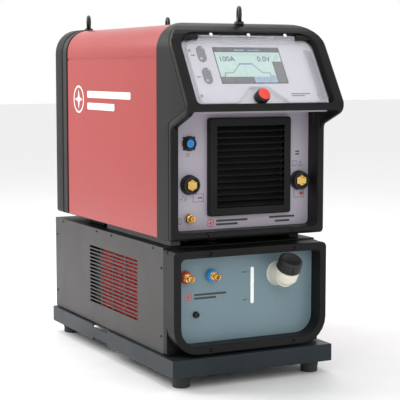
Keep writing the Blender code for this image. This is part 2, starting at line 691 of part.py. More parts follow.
def encoder(head):
    """Push-and-turn encoder: a sprung shaft and a knurled knob with a hollow skirt."""
    turn = facing(FRONT).to_euler()
    at = (KNOB_X, HEAD_PANEL, KNOB_Z)
    place("encoder_shaft", turned([(0.0036, -0.010), (0.0036, 0.0080), (0.0027, 0.0082), (0.0027, 0.0150)], 20),
          "steel", at, turn, head)
    skirt = [(0.0031, 0.0085), (0.0031, 0.0155), (0.00005, 0.0156), (0.00005, 0.0218), (0.0118, 0.0218),
             (0.0128, 0.0208), (0.0131, 0.0170), (0.0145, 0.0160), (0.0145, 0.0040), (0.0125, 0.0040),
             (0.0125, 0.0085)]
    knob = place("encoder_knob", turned(skirt, 20, closed=True), "black_plastic", at, turn, head)
    combine(knob, turned([(0.001, 0.0157), (0.001, 0.0217)], 8), "UNION")


def lid(head):
    """Clear hinged cover: a shallow moulded tray with a notch around the knob, and its hinge strip."""
    y_axis, z_axis = LID_AXIS
    at = (0, y_axis, z_axis)
    low, top = 0.0030 - z_axis, 0.1465 - z_axis
    front, back, wall = 0.0010, 0.0125, 0.0025
    outline = frame_outline(0.1430, low, top, 0.010, 0.022)
    cover = place("lid", prism_y(outline, front, back), "clear_plastic", at, parent=head)
    combine(cover, prism_y(notch_outline(low - 0.01, 0.0), front - 0.01, back + 0.01))
    inner = frame_outline(0.1430 - wall, low + wall, top - wall, 0.008, 0.020)
    hollow = place("lid_hollow", prism_y(inner, front + wall, back + 0.01), "steel", parent=cover)
    combine(hollow, prism_y(notch_outline(low - 0.02, 0.0025), front - 0.02, back + 0.02))
    hollow.hide_render = True
    hollow.display_type = "WIRE"
    cut = cover.modifiers.new("hollow", "BOOLEAN")
    cut.operation = "DIFFERENCE"
    cut.object = hollow
    for x in (-0.050, 0.050):
        combine(cover, box((x - 0.009, 0.0001, top - 0.002), (x + 0.009, 0.0032, 0.0)), "UNION")
        combine(cover, moved(turned([(0.0033, -0.009), (0.0033, 0.009)], 16), facing((1, 0, 0), (x, 0, 0))),
                "UNION")
        combine(cover, moved(turned([(0.0019, -0.012), (0.0019, 0.012)], 16), facing((1, 0, 0), (x, 0, 0))))

    strip = place("lid_hinge", box((-0.108, 0.0042, 0.0010), (0.108, 0.0068, 0.0080)), "clear_plastic",
                  at, parent=head)
    for x, length in ((-0.084, 0.044), (0.0, 0.076), (0.084, 0.044)):
        combine(strip, moved(turned([(0.0033, -length / 2), (0.0033, length / 2)], 16),
                             facing((1, 0, 0), (x, 0, 0))), "UNION")
        combine(strip, box((x - length / 2 + 0.0006, 0.0, -0.0010), (x + length / 2 - 0.0006, 0.0050, 0.0030)),
                "UNION")
    combine(strip, moved(turned([(0.0014, -0.100), (0.0014, 0.100)], 12), facing((1, 0, 0))), "UNION")


def notch_outline(low, grow):
    """The trapezium left out of the lid's lower edge, in the lid's frame."""
    top = NOTCH["top"] - LID_AXIS[1] + grow
    slope = (NOTCH["low"] - NOTCH["high"]) / (NOTCH["top"] - 0.003)
    wide = NOTCH["high"] + slope * (top - low) + grow
    narrow = NOTCH["high"] + grow
    return [(KNOB_X + x, z) for x, z in ((-wide, low), (wide, low), (narrow, top), (-narrow, top))]


def eye_bolts():
    """Lifting eyes screwed into the roof, each turned a little."""
    for name, turn in (("front", 68), ("rear_l", 62), ("rear_r", 74)):
        x, y = EYE_BOLTS[name]
        at = (x, y, EYE_SEAT_Z + GAP)
        bolt = place(f"eye_bolt_{name}", turned([(0.0100, 0), (0.0100, 0.0050), (0.0085, 0.0062),
                                                 (0.0060, 0.0075)], 20), "black_plastic", at,
                     (0, 0, math.radians(turn)))
        combine(bolt, moved(torus(0.0140, 0.0040, 20, 8), Matrix.Translation((0, 0, 0.0190))), "UNION")


def torus(major, minor, around, across):
    """A ring standing in the XZ plane."""
    bm = bmesh.new()
    rows = []
    for i in range(around):
        turn = 2 * math.pi * i / around
        row = []
        for j in range(across):
            angle = 2 * math.pi * j / across
            reach = major + minor * math.cos(angle)
            row.append(bm.verts.new((reach * math.cos(turn), minor * math.sin(angle), reach * math.sin(turn))))
        rows.append(row)
    for i, row in enumerate(rows):
        after = rows[(i + 1) % around]
        for j in range(across):
            k = (j + 1) % across
            bm.faces.new((row[j], after[j], after[k], row[k]))
    return bm


# ---------------------------------------------------------------- rear

def rear():
    """Rear bezel, rear panel with an air inlet, mains switch, gland, gas inlet and fan."""
    p = POWER
    outline = frame_outline(HALF_W, p["z0"], p["z1"], 0.006, CORNER_R, steps=8)
    bezel = place("rear_bezel", prism_y(outline, p["rear0"], p["back"]), "black_plastic")
    bevel = bezel.modifiers.new("edge", "BEVEL")
    bevel.width = 0.005
    bevel.segments = 2
    bevel.limit_method = "ANGLE"
    bevel.angle_limit = math.radians(60)
    inner = frame_outline(HALF_W - RIM, p["z0"] + RIM, p["z1"] - RIM, 0.010, CORNER_R - RIM)
    combine(bezel, prism_y(inner, p["rear0"] - 0.01, p["back"] + 0.01))
    for name in ("rear_l", "rear_r"):
        eye_seat(bezel, name)

    hw = HALF_W - RIM - GAP
    y = p["rear_panel"]
    plate = place("rear_panel", prism_y(frame_outline(hw, p["z0"] + RIM + GAP, p["z1"] - RIM - GAP, 0.0097,
                                                      CORNER_R - RIM - GAP), y, y + SHEET), "grey_paint")
    slots = bmesh.new()
    for k in range(9):
        for column in range(3):
            x0, z = -0.060 + column * 0.0405, 0.3945 + k * 0.012
            add_to(slots, box((x0, y - 0.01, z), (x0 + 0.039, y + 0.02, z + 0.006)))
    combine(plate, slots)
    fan("power_fan", (0.0, y - 0.0265, 0.4455))

    out = y + SHEET + GAP
    turn = facing(BACK).to_euler()
    place("mains_switch", prism_y(frame_outline(0.024, -0.024, 0.024, 0.004, 0.004, steps=3), 0, 0.0040),
          "black_plastic", (0.090, out, 0.610))
    knob = place("mains_knob", turned([(0.0160, 0.0), (0.0150, 0.0040), (0.0145, 0.0055)], 20),
                 "red_plastic", (0.090, out + 0.0043, 0.610), turn)
    combine(knob, box((-0.0045, -0.0150, 0.002), (0.0045, 0.0150, 0.0160)), "UNION")
    gland = [(0.0080, 0.0), (0.0165, 0.0), (0.0165, 0.0055), (0.0150, 0.0060), (0.0148, 0.0130),
             (0.0105, 0.0180), (0.0080, 0.0180)]
    place("cable_gland", turned(gland, 20, closed=True), "black_plastic", (-0.100, out, 0.350), turn)
    inlet = place("gas_inlet", turned([(0.0098, 0), (0.0098, 0.0070), (0.0088, 0.0080)], 6), "brass",
                  (0.110, out, 0.345), turn)
    combine(inlet, turned([(0.0060, 0.004), (0.0060, 0.0170), (0.0052, 0.0180)], 24), "UNION")
    combine(inlet, turned([(0.0032, 0.006), (0.0032, 0.030)], 20))


def main():
    """Builds the machine from the floor up."""
    for old in list(bpy.data.objects):
        bpy.data.objects.remove(old)
    base_tray()
    feet()
    cooler_sides()
    cooler_bezel()
    cooler_front_panel()
    level_window()
    tank()
    filler()
    couplings()
    fuse()
    cooler_inside()
    cooler_shell()
    spacers()
    power_floor()
    power_cover()
    power_bezel()
    power_front_panel()
    louvre_grille()
    weld_sockets()
    small_fittings()
    control_head()
    eye_bolts()
    rear()


main()
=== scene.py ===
# %% [markdown]
# # A water-cooled arc welder
# The machine is a power source that stands on a water cooler, and both stand on a tray with
# four feet. The solids of the machine are already there. They give every size and place, and
# in this lesson they get rounded edges, fittings, printed signs and finishes.

# %% Load the solids
import math
import bpy
from mathutils import Matrix, Vector


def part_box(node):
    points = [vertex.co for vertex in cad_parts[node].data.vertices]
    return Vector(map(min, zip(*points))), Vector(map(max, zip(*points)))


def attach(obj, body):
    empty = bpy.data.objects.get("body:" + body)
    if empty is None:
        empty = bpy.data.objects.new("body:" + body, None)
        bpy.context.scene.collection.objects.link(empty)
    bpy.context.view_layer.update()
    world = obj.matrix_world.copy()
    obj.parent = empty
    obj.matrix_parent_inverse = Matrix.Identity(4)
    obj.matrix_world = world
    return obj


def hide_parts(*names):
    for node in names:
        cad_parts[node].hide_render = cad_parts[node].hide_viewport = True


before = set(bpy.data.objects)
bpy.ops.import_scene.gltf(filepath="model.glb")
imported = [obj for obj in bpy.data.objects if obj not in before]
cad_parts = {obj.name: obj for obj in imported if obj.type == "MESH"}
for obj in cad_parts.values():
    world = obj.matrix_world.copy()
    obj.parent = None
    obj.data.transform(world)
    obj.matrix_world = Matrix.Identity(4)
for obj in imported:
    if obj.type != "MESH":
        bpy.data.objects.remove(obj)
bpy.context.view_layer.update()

# %% [markdown]
# ## Habits that keep operators safe
# An operator works on everything that is selected. So the first helpers deselect all, choose
# one piece, and select its faces or edges by a test on their place and direction. That is the
# same as clicking them by hand, but it works again when a size changes.


# %% Choosing pieces, faces and edges
def choose_only(*pieces):
    """Leaves just these pieces selected, with the first one active."""
    bpy.ops.object.select_all(action="DESELECT")
    for piece in pieces:
        piece.select_set(True)
    bpy.context.view_layer.objects.active = pieces[0]


def start_editing(piece, kind="FACE", test=None):
    """Opens edit mode with all faces or edges selected, or only those that pass the test."""
    choose_only(piece)
    bpy.ops.object.mode_set(mode="EDIT")
    bpy.ops.mesh.select_mode(type=kind)
    bpy.ops.mesh.select_all(action="DESELECT" if test else "SELECT")
    if test:
        bpy.ops.object.mode_set(mode="OBJECT")
        mesh = piece.data
        if kind == "FACE":
            for face in mesh.polygons:
                face.select = test(face.center, face.normal)
        else:
            for edge in mesh.edges:
                start, end = (mesh.vertices[i].co for i in edge.vertices)
                edge.select = test((start + end) / 2, (end - start).normalized())
        bpy.ops.object.mode_set(mode="EDIT")


def stop_editing():
    bpy.ops.object.mode_set(mode="OBJECT")


def set_down(piece, place):
    """Puts a piece in its place, then moves the place into the mesh."""
    choose_only(piece)
    piece.matrix_world = place
    bpy.ops.object.transform_apply(location=True, rotation=True, scale=True)
    return piece


def duplicate(piece, name, place):
    """A copy with a mesh of its own, moved by the place matrix."""
    twin = piece.copy()
    twin.data = piece.data.copy()
    twin.name = name
    bpy.context.scene.collection.objects.link(twin)
    return set_down(twin, place)


def join(name, pieces):
    """Makes one piece of several."""
    choose_only(*pieces)
    if len(pieces) > 1:
        bpy.ops.object.join()
    pieces[0].name = name
    return pieces[0]


# %% [markdown]
# ## Ways to make a part
# Most fittings on this machine are turned or moulded. A turned part starts as a disc, and each
# step extrudes its face along the axis and scales it. A plate starts as a cube, and bevels
# round its corners first and its rim after. A stroke is a thin bar between two points, which
# is enough for printed lines.


# %% Lathe, block, plate, stroke and lettering
def turn_on_lathe(name, profile, sides=40):
    """Extrudes a disc through (radius, height) steps along Z; both ends are closed."""
    radius, height = profile[0]
    bpy.ops.object.select_all(action="DESELECT")
    bpy.ops.mesh.primitive_circle_add(vertices=sides, radius=radius, fill_type="NGON",
                                      location=(0, 0, height))
    piece = bpy.context.object
    piece.name = name
    bpy.ops.object.transform_apply(location=True)
    start_editing(piece)
    for next_radius, next_height in profile[1:]:
        bpy.ops.mesh.extrude_region_move(
            TRANSFORM_OT_translate={"value": (0, 0, next_height - height)})
        grow = next_radius / radius
        bpy.ops.transform.resize(value=(grow, grow, 1), center_override=(0, 0, next_height))
        radius, height = next_radius, next_height
    bpy.ops.mesh.select_all(action="SELECT")
    bpy.ops.mesh.normals_make_consistent(inside=False)
    stop_editing()
    return piece


def block(name, low, high, edge=0.0004, segments=2):
    """A box with rounded edges."""
    low, high = Vector(low), Vector(high)
    bpy.ops.object.select_all(action="DESELECT")
    bpy.ops.mesh.primitive_cube_add(size=1, location=(low + high) / 2, scale=high - low)
    piece = bpy.context.object
    piece.name = name
    bpy.ops.object.transform_apply(location=True, rotation=False, scale=True)
    if edge:
        start_editing(piece, "EDGE")
        bpy.ops.mesh.bevel(offset=edge, segments=segments, affect="EDGES")
        stop_editing()
    return piece


def plate(name, low, high, corner, rim=0.0, segments=5):
    """A flat plate facing forwards: round corners, then a rounded front rim."""
    piece = block(name, low, high, edge=0)
    start_editing(piece, "EDGE", lambda middle, along: abs(along.y) > 0.9)
    bpy.ops.mesh.bevel(offset=corner, segments=segments, affect="EDGES")
    stop_editing()
    if rim:
        front = min(low[1], high[1])
        start_editing(piece, "EDGE", lambda middle, along: abs(middle.y - front) < 1e-5)
        bpy.ops.mesh.bevel(offset=rim, segments=3, affect="EDGES")
        stop_editing()
    return piece


PRINT = 0.00012  # thickness of printed ink


def stroke(start, end, width, y=0.0, depth=PRINT):
    """A thin bar in the front plane, from (x, z) to (x, z)."""
    (x0, z0), (x1, z1) = start, end
    length = math.hypot(x1 - x0, z1 - z0) + width
    bar = block("stroke", (-length / 2, -depth, -width / 2), (length / 2, 0, width / 2), edge=0)
    lean = Matrix.Rotation(-math.atan2(z1 - z0, x1 - x0), 4, "Y")
    return set_down(bar, Matrix.Translation(((x0 + x1) / 2, y, (z0 + z1) / 2)) @ lean)


def outline(name, points, width, y=0.0, closed=True):
    """Strokes from point to point, joined."""
    ends = points[1:] + points[:1] if closed else points[1:]
    return join(name, [stroke(a, b, width, y) for a, b in zip(points, ends)])


def rectangle(x0, z0, x1, z1):
    return [(x0, z0), (x1, z0), (x1, z1), (x0, z1)]


def lettering(name, words, size, x, z, y=0.0):
    """Plain characters in the front plane, centred on (x, z)."""
    bpy.ops.object.select_all(action="DESELECT")
    bpy.ops.object.text_add()
    piece = bpy.context.object
    piece.data.body = words
    piece.data.size = size
    piece.data.extrude = PRINT / 2
    piece.data.offset = size * 0.012
    piece.data.align_x = "CENTER"
    piece.data.align_y = "CENTER"
    bpy.ops.object.convert(target="MESH")
    piece = bpy.context.object
    piece.name = name
    stand = Matrix.Rotation(math.radians(90), 4, "X")
    return set_down(piece, Matrix.Translation((x, y - PRINT / 2, z)) @ stand)


def facing(direction, at):
    """Turns a lathe's axis from Z to a direction and moves it."""
    turn = Vector(direction).to_track_quat("Z", "Y").to_matrix().to_4x4()
    return Matrix.Translation(at) @ turn


FORWARDS, BACKWARDS = (0, -1, 0), (0, 1, 0)

# %% [markdown]
# ## Camera and light
# The machine is seen from its front left corner with a long lens, a little above its middle.
# Soft light comes from large panels: the main one high on the left and behind, a weaker one in
# front and one above the roof. A white surround fills the shadows, so that the left flank and
# the front both show and the inner right edges stay dark.

# %% Camera
bpy.ops.object.select_all(action="DESELECT")
bpy.ops.object.camera_add(location=(-1.2283, -2.4765, 0.6249))
camera = bpy.context.object
camera.rotation_euler = (math.radians(90 - 5.872), 0, math.radians(-26.977))
camera.data.lens = 113.41
camera.data.sensor_width = 36
bpy.context.scene.camera = camera
bpy.context.scene.view_settings.view_transform = "Standard"
print("camera at", tuple(round(v, 3) for v in camera.location))


# %% Studio lights
def light_panel(name, at, target, size, watts):
    """A square soft light aimed at a point."""
    bpy.ops.object.light_add(type="AREA", location=at)
    lamp = bpy.context.object
    lamp.name = name
    lamp.data.size = size
    lamp.data.energy = watts
    aim = Vector(target) - Vector(at)
    lamp.rotation_euler = aim.to_track_quat("-Z", "Y").to_euler()
    return lamp


MIDDLE = (0, 0, 0.38)
light_panel("main_light", (-2.0, 1.5, 1.9), MIDDLE, 1.4, 56)
light_panel("front_light", (-0.6, -3.2, 2.2), MIDDLE, 1.6, 18)
light_panel("top_light", (0.0, 0.8, 2.6), MIDDLE, 2.0, 26)
world = bpy.data.worlds.new("studio")
bpy.context.scene.world = world
world.use_nodes = True
surround = world.node_tree.nodes["Background"]
surround.inputs["Color"].default_value = (1.0, 1.0, 1.0, 1)
surround.inputs["Strength"].default_value = 1.0

# %% [markdown]
# ## Effects that several finishes share
# Three node groups are built once. Moulded grain gives the fine pebble of moulded plastic.
# Orange peel gives the soft waves of powder paint. Handling gives cloudy wipe marks that make
# gloss uneven. Each puts out a mask or a height, and the shader stays in its own material.


# %% Node groups
def new_group(name, inputs, outputs):
    """A shader node group with float inputs and outputs, and its two end nodes."""
    group = bpy.data.node_groups.new(name, "ShaderNodeTree")
    for label, value in inputs:
        socket = group.interface.new_socket(label, in_out="INPUT", socket_type="NodeSocketFloat")
        socket.default_value = value
    for label in outputs:
        group.interface.new_socket(label, in_out="OUTPUT", socket_type="NodeSocketFloat")
    return group, group.nodes.new("NodeGroupInput"), group.nodes.new("NodeGroupOutput")


def noise_in(group, links_from, scale_socket, detail, distortion=0.0):
    """A noise on Object coordinates whose scale comes from the group."""
    place = group.nodes.new("ShaderNodeTexCoord")
    noise = group.nodes.new("ShaderNodeTexNoise")
    noise.inputs["Detail"].default_value = detail
    noise.inputs["Distortion"].default_value = distortion
    group.links.new(place.outputs["Object"], noise.inputs["Vector"])
    group.links.new(links_from.outputs[scale_socket], noise.inputs["Scale"])
    return noise


def ramp_in(group, noise, low, high):
    """Spreads the middle of a noise over 0 to 1."""
    spread = group.nodes.new("ShaderNodeMapRange")
    spread.interpolation_type = "SMOOTHSTEP"
    spread.inputs["From Min"].default_value = low
    spread.inputs["From Max"].default_value = high
    group.links.new(noise.outputs["Fac"], spread.inputs["Value"])
    return spread


grain, grain_in, grain_out = new_group("moulded_grain", [("Scale", 900.0)], ["Height"])
pebble = grain.nodes.new("ShaderNodeTexVoronoi")
pebble.feature = "SMOOTH_F1"
grain_place = grain.nodes.new("ShaderNodeTexCoord")
grain.links.new(grain_place.outputs["Object"], pebble.inputs["Vector"])
grain.links.new(grain_in.outputs["Scale"], pebble.inputs["Scale"])
grain.links.new(pebble.outputs["Distance"], grain_out.inputs["Height"])

peel, peel_in, peel_out = new_group("orange_peel", [("Scale", 320.0)], ["Height"])
waves = noise_in(peel, peel_in, "Scale", 2.0)
peel.links.new(ramp_in(peel, waves, 0.3, 0.7).outputs["Result"], peel_out.inputs["Height"])

handling, handling_in, handling_out = new_group("handling", [("Scale", 9.0)], ["Cloud"])
cloud = noise_in(handling, handling_in, "Scale", 5.0, 0.6)
handling.links.new(ramp_in(handling, cloud, 0.35, 0.68).outputs["Result"], handling_out.inputs["Cloud"])
print("groups:", [g.name for g in bpy.data.node_groups])

# %% [markdown]
# ## Finishes
# One recipe makes all the opaque finishes. Two close colours are mixed by the handling cloud,
# the same cloud moves the roughness between two values, and one of the two surface groups
# drives a bump. A finish is then told by its numbers: dark moulded plastic is rough and finely
# pebbled, powder paint is glossier and wavy, brass is metal with a fine brushed look.

# %% Finish recipe
FINISH, SLOT = {}, {}


def finish(name, slot, colour, second, rough, surface="moulded_grain", scale=900.0, height=0.0004,
           strength=0.15, metal=0.0, clouds=9.0, coat=0.0, glow=0.0, shine=0.5):
    """Builds a finish of two close colours, uneven gloss and a fine surface."""
    paint = bpy.data.materials.new(name)
    paint.use_nodes = True
    nodes, links = paint.node_tree.nodes, paint.node_tree.links
    shader = nodes["Principled BSDF"]
    marks = nodes.new("ShaderNodeGroup")
    marks.node_tree = handling
    marks.inputs["Scale"].default_value = clouds
    mix = nodes.new("ShaderNodeMix")
    mix.data_type = "RGBA"
    mix.inputs["A"].default_value = (*colour, 1)
    mix.inputs["B"].default_value = (*second, 1)
    links.new(marks.outputs["Cloud"], mix.inputs["Factor"])
    links.new(mix.outputs["Result"], shader.inputs["Base Color"])
    gloss = nodes.new("ShaderNodeMapRange")
    gloss.inputs["To Min"].default_value, gloss.inputs["To Max"].default_value = rough
    links.new(marks.outputs["Cloud"], gloss.inputs["Value"])
    links.new(gloss.outputs["Result"], shader.inputs["Roughness"])
    skin = nodes.new("ShaderNodeGroup")
    skin.node_tree = bpy.data.node_groups[surface]
    skin.inputs["Scale"].default_value = scale
    bump = nodes.new("ShaderNodeBump")
    bump.inputs["Strength"].default_value = strength
    bump.inputs["Distance"].default_value = height
    links.new(skin.outputs["Height"], bump.inputs["Height"])
    links.new(bump.outputs["Normal"], shader.inputs["Normal"])
    shader.inputs["Metallic"].default_value = metal
    shader.inputs["Specular IOR Level"].default_value = shine
    shader.inputs["Coat Weight"].default_value = coat
    shader.inputs["Coat Roughness"].default_value = 0.12
    if glow:
        links.new(mix.outputs["Result"], shader.inputs["Emission Color"])
        shader.inputs["Emission Strength"].default_value = glow
    FINISH[name], SLOT[name] = paint, slot
    return paint


finish("charcoal_plastic", "black_plastic", (0.007, 0.007, 0.0068), (0.01, 0.01, 0.0094), (0.36, 0.46),
       shine=0.16)
finish("black_sheet", "tray_paint", (0.006, 0.006, 0.007), (0.01, 0.01, 0.011), (0.42, 0.55),
       surface="orange_peel", scale=500, shine=0.3)
finish("tray_blue_grey", "tray_paint", (0.011, 0.017, 0.021), (0.015, 0.021, 0.026), (0.34, 0.44),
       surface="orange_peel", scale=420, strength=0.2, shine=0.25)
finish("warm_grey_paint", "grey_paint", (0.036, 0.033, 0.032), (0.046, 0.042, 0.041), (0.34, 0.44),
       surface="orange_peel", scale=420, strength=0.2, shine=0.25)
finish("red_powder", "red_paint", (0.33, 0.012, 0.01), (0.35, 0.016, 0.013), (0.3, 0.36),
       surface="orange_peel", scale=330, strength=0.22, clouds=4.0, coat=0.2)
# The head's lavender is the panel lavender made lighter: painted light for the head that leans back into
# the light.
finish("lavender_painted_lit", "panel_grey", (0.66, 0.645, 0.7), (0.69, 0.675, 0.73), (0.34, 0.42))
finish("lavender_panel", "panel_grey", (0.395, 0.36, 0.42), (0.42, 0.385, 0.445), (0.34, 0.42),
       surface="orange_peel", scale=700, strength=0.08)
finish("blue_grey_panel", "panel_blue", (0.15, 0.228, 0.262), (0.165, 0.244, 0.279), (0.38, 0.46),
       surface="orange_peel", scale=700, strength=0.08)
finish("foot_rubber", "rubber", (0.012, 0.012, 0.012), (0.02, 0.02, 0.02), (0.6, 0.75), scale=700)
finish("polished_brass", "brass", (0.83, 0.56, 0.19), (0.72, 0.44, 0.12), (0.08, 0.2), metal=1.0,
       scale=1500, strength=0.05, clouds=60)
finish("dull_steel", "steel", (0.52, 0.52, 0.53), (0.42, 0.42, 0.43), (0.26, 0.4), metal=1.0,
       scale=1500, strength=0.06, clouds=70)
finish("bare_aluminium", "aluminium", (0.7, 0.71, 0.72), (0.62, 0.63, 0.64), (0.3, 0.42),
       metal=1.0, scale=1200, strength=0.06, clouds=30)
finish("signal_red", "red_plastic", (0.76, 0.045, 0.03), (0.82, 0.06, 0.04), (0.3, 0.42), clouds=60)
finish("warm_water_red", "red_plastic", (0.5, 0.04, 0.03), (0.56, 0.055, 0.04), (0.32, 0.44), clouds=60)
finish("cool_water_blue", "blue_plastic", (0.01, 0.26, 0.72), (0.014, 0.32, 0.8), (0.28, 0.4), clouds=60)
finish("cream_plastic", "cream_plastic", (0.76, 0.735, 0.62), (0.8, 0.78, 0.68), (0.34, 0.46), clouds=25)
finish("cover_grey", "grey_plastic", (0.13, 0.135, 0.13), (0.15, 0.155, 0.148), (0.4, 0.5), clouds=40)
finish("cap_black", "black_plastic", (0.008, 0.008, 0.008), (0.013, 0.013, 0.0125), (0.38, 0.5),
       clouds=40, shine=0.4)
# Near black: the screen housing's own black, and painted shade in the grooves, bores, pin holes and
# behind the openings.
finish("black_and_painted_shade", "black_plastic", (0.004, 0.004, 0.004), (0.006, 0.006, 0.006), (0.55, 0.65))
finish("print_black", "black_plastic", (0.03, 0.03, 0.034), (0.04, 0.04, 0.044), (0.45, 0.55))
finish("print_grey", "grey_plastic", (0.06, 0.058, 0.066), (0.072, 0.07, 0.078), (0.45, 0.55))
finish("print_white", "grey_plastic", (0.78, 0.77, 0.75), (0.84, 0.83, 0.81), (0.4, 0.5))
finish("print_red", "red_plastic", (0.62, 0.02, 0.02), (0.68, 0.026, 0.026), (0.4, 0.5))
print("finishes:", len(FINISH))

# %% [markdown]
# ## Lit and clear finishes
# The screen glows, so its finishes add their own colour as emission. The lid is clear
# plastic. Refraction would keep the lamps from the panel behind it, so the lid is made see
# through with alpha, and Layer Weight makes it denser where it is seen at a flat angle.

# %% Screen colours and clear plastic
finish("screen_mint", "screen", (0.3, 0.42, 0.385), (0.32, 0.44, 0.405), (0.2, 0.28), clouds=20,
       glow=0.75)
finish("screen_dark", "screen", (0.02, 0.02, 0.02), (0.026, 0.026, 0.025), (0.22, 0.3), clouds=20,
       glow=0.1)
finish("screen_ink", "screen", (0.006, 0.007, 0.007), (0.008, 0.009, 0.009), (0.3, 0.4), clouds=20)
finish("screen_grey", "screen", (0.075, 0.078, 0.075), (0.09, 0.093, 0.089), (0.22, 0.3), clouds=20,
       glow=0.2)
finish("screen_blue", "screen", (0.06, 0.14, 0.52), (0.07, 0.16, 0.56), (0.22, 0.3), clouds=20, glow=0.5)
finish("screen_pale_blue", "screen", (0.2, 0.3, 0.42), (0.22, 0.32, 0.44), (0.22, 0.3), clouds=20,
       glow=0.6)
# The coolant in the level window glows a little: painted light shining through it.
finish("coolant_white_painted_glow", "clear_plastic", (0.8, 0.83, 0.81), (0.86, 0.88, 0.86), (0.25, 0.35), clouds=40,
       glow=0.15)


def clear_finish(name, colour, low, high):
    """Clear moulded plastic: alpha rises where the surface is seen at a flat angle."""
    clear = finish(name, "clear_plastic", colour, tuple(0.9 * c for c in colour), (0.06, 0.14),
                   strength=0.02, clouds=14)
    nodes, links = clear.node_tree.nodes, clear.node_tree.links
    angle = nodes.new("ShaderNodeLayerWeight")
    angle.inputs["Blend"].default_value = 0.35
    density = nodes.new("ShaderNodeMapRange")
    density.inputs["To Min"].default_value = low
    density.inputs["To Max"].default_value = high
    links.new(angle.outputs["Facing"], density.inputs["Value"])
    links.new(density.outputs["Result"], nodes["Principled BSDF"].inputs["Alpha"])
    return clear


clear_finish("clear_lid", (0.74, 0.74, 0.8), 0.03, 0.5)
clear_finish("clear_edge", (0.62, 0.63, 0.68), 0.12, 0.7)
print("finishes:", len(FINISH))


# %% Handing over a finished piece
def hand_over(piece, finish_name, body="root", smooth=32):
    """Smooth shading, a finish, and the body that the piece moves with."""
    choose_only(piece)
    bpy.ops.object.shade_smooth_by_angle(angle=math.radians(smooth))
    piece.data.materials.clear()
    piece.data.materials.append(FINISH[finish_name])
    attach(piece, body)
    return piece


def refine(node, name, finish_name, body="root", edge=0.0, segments=3, smooth=38, shape=None):
    """A copy of a solid with its points merged, its edges rounded and its shading evened."""
    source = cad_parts[node]
    piece = source.copy()
    piece.data = source.data.copy()
    piece.parent = None
    piece.name = name
    for key in list(piece.keys()):
        del piece[key]
    bpy.context.scene.collection.objects.link(piece)
    start_editing(piece, "VERT")
    bpy.ops.mesh.remove_doubles(threshold=0.00002)
    bpy.ops.mesh.dissolve_limited(angle_limit=math.radians(0.6))
    stop_editing()
    if edge:
        rounding = piece.modifiers.new("rounded edges", "BEVEL")
        rounding.width = edge
        rounding.segments = segments
        rounding.limit_method = "ANGLE"
        rounding.angle_limit = math.radians(50)
        bpy.ops.object.modifier_apply(modifier=rounding.name)
    hand_over(piece, finish_name, body, smooth)
    if shape:
        shape(piece)
    even = piece.modifiers.new("even shading", "WEIGHTED_NORMAL")
    even.keep_sharp = True
    bpy.ops.object.modifier_apply(modifier=even.name)
    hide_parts(node)
    return piece


def repaint(node, finish_name):
    """A better finish on a solid whose shape is already right."""
    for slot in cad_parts[node].material_slots:
        slot.material = FINISH[finish_name]


# %% [markdown]
# ## The large shells
# The bezels are thick dark mouldings and the cover is one bent red sheet. Their solids have
# the right shape with sharp facets. A copy of each is merged and weighted normals keep the flat
# faces flat; the tray, the louvres and the cooler sides also get a small bevel that catches the light.

# %% Bezels, cover and tray
LEAN = math.radians(32.1)
POWER_FRONT, CHIN_Z = -0.285, 0.514
HEAD_FOOT = Vector((0.0, -0.358, 0.563))
HEAD = Matrix.Translation(HEAD_FOOT) @ Matrix.Rotation(-LEAN, 4, "X")
HEAD_OUT = tuple(HEAD.to_3x3() @ Vector((0, -1, 0)))
RIM_FACES = [(HEAD_FOOT, Vector(HEAD_OUT)),
             (Vector((0, POWER_FRONT, CHIN_Z)), Vector((0, -0.371, -0.929))),
             (Vector((0, POWER_FRONT, 0.4)), Vector(FORWARDS))]
GROOVE = (0.0105, 0.0138)  # how far behind the rim it starts and ends
BAND_END = 0.303
SHOULDER_X, SHOULDER_Z = 0.12, 0.664  # where the round shoulders are centred
SKIN_RADIUS, SKIN_X, SKIN_Z = 0.05, 0.172, 0.715  # all that lies beyond these is outer skin


def outside(centre):
    """True on the outer skin of a bezel: its cheeks, round shoulders and roof."""
    across, up = abs(centre.x), centre.z
    if across > SHOULDER_X and up > SHOULDER_Z:
        return math.hypot(across - SHOULDER_X, up - SHOULDER_Z) > SKIN_RADIUS
    return across > SKIN_X or up > SKIN_Z


def sink_and_paint_shade(piece, test, depth):
    """Sets the chosen faces into the surface and blackens them as painted shade in the recess."""
    piece.data.materials.append(FINISH["black_and_painted_shade"])
    start_editing(piece, "FACE", test)
    bpy.ops.mesh.extrude_region_shrink_fatten(TRANSFORM_OT_shrink_fatten={"value": -depth})
    piece.active_material_index = 1
    bpy.ops.object.material_slot_assign()
    stop_editing()


def cut_across(piece, at, direction):
    """Adds an edge loop where a plane crosses the piece."""
    start_editing(piece, "FACE")
    bpy.ops.mesh.bisect(plane_co=at, plane_no=direction)
    stop_editing()


def rim_groove(piece):
    """A groove round the outside that follows the rim's front faces; its floor is painted black as
    painted shade.
    """
    def depth_of(point):
        slope, chin, front = ((at - point).dot(out) for at, out in RIM_FACES)
        return min(slope, max(chin, front))
    for at, out in RIM_FACES:
        for depth in GROOVE:
            cut_across(piece, at - out * depth, out)
    sink_and_paint_shade(piece, lambda centre, normal: GROOVE[0] < depth_of(centre) < GROOVE[1] and outside(centre),
         0.0014)


def rear_band(piece):
    """The forward part of the rear bezel is a recessed band, painted black as painted shade."""
    cut_across(piece, (0, BAND_END, 0), BACKWARDS)
    sink_and_paint_shade(piece, lambda centre, normal: centre.y < BAND_END and outside(centre) and abs(normal.y) < 0.5,
         0.0016)


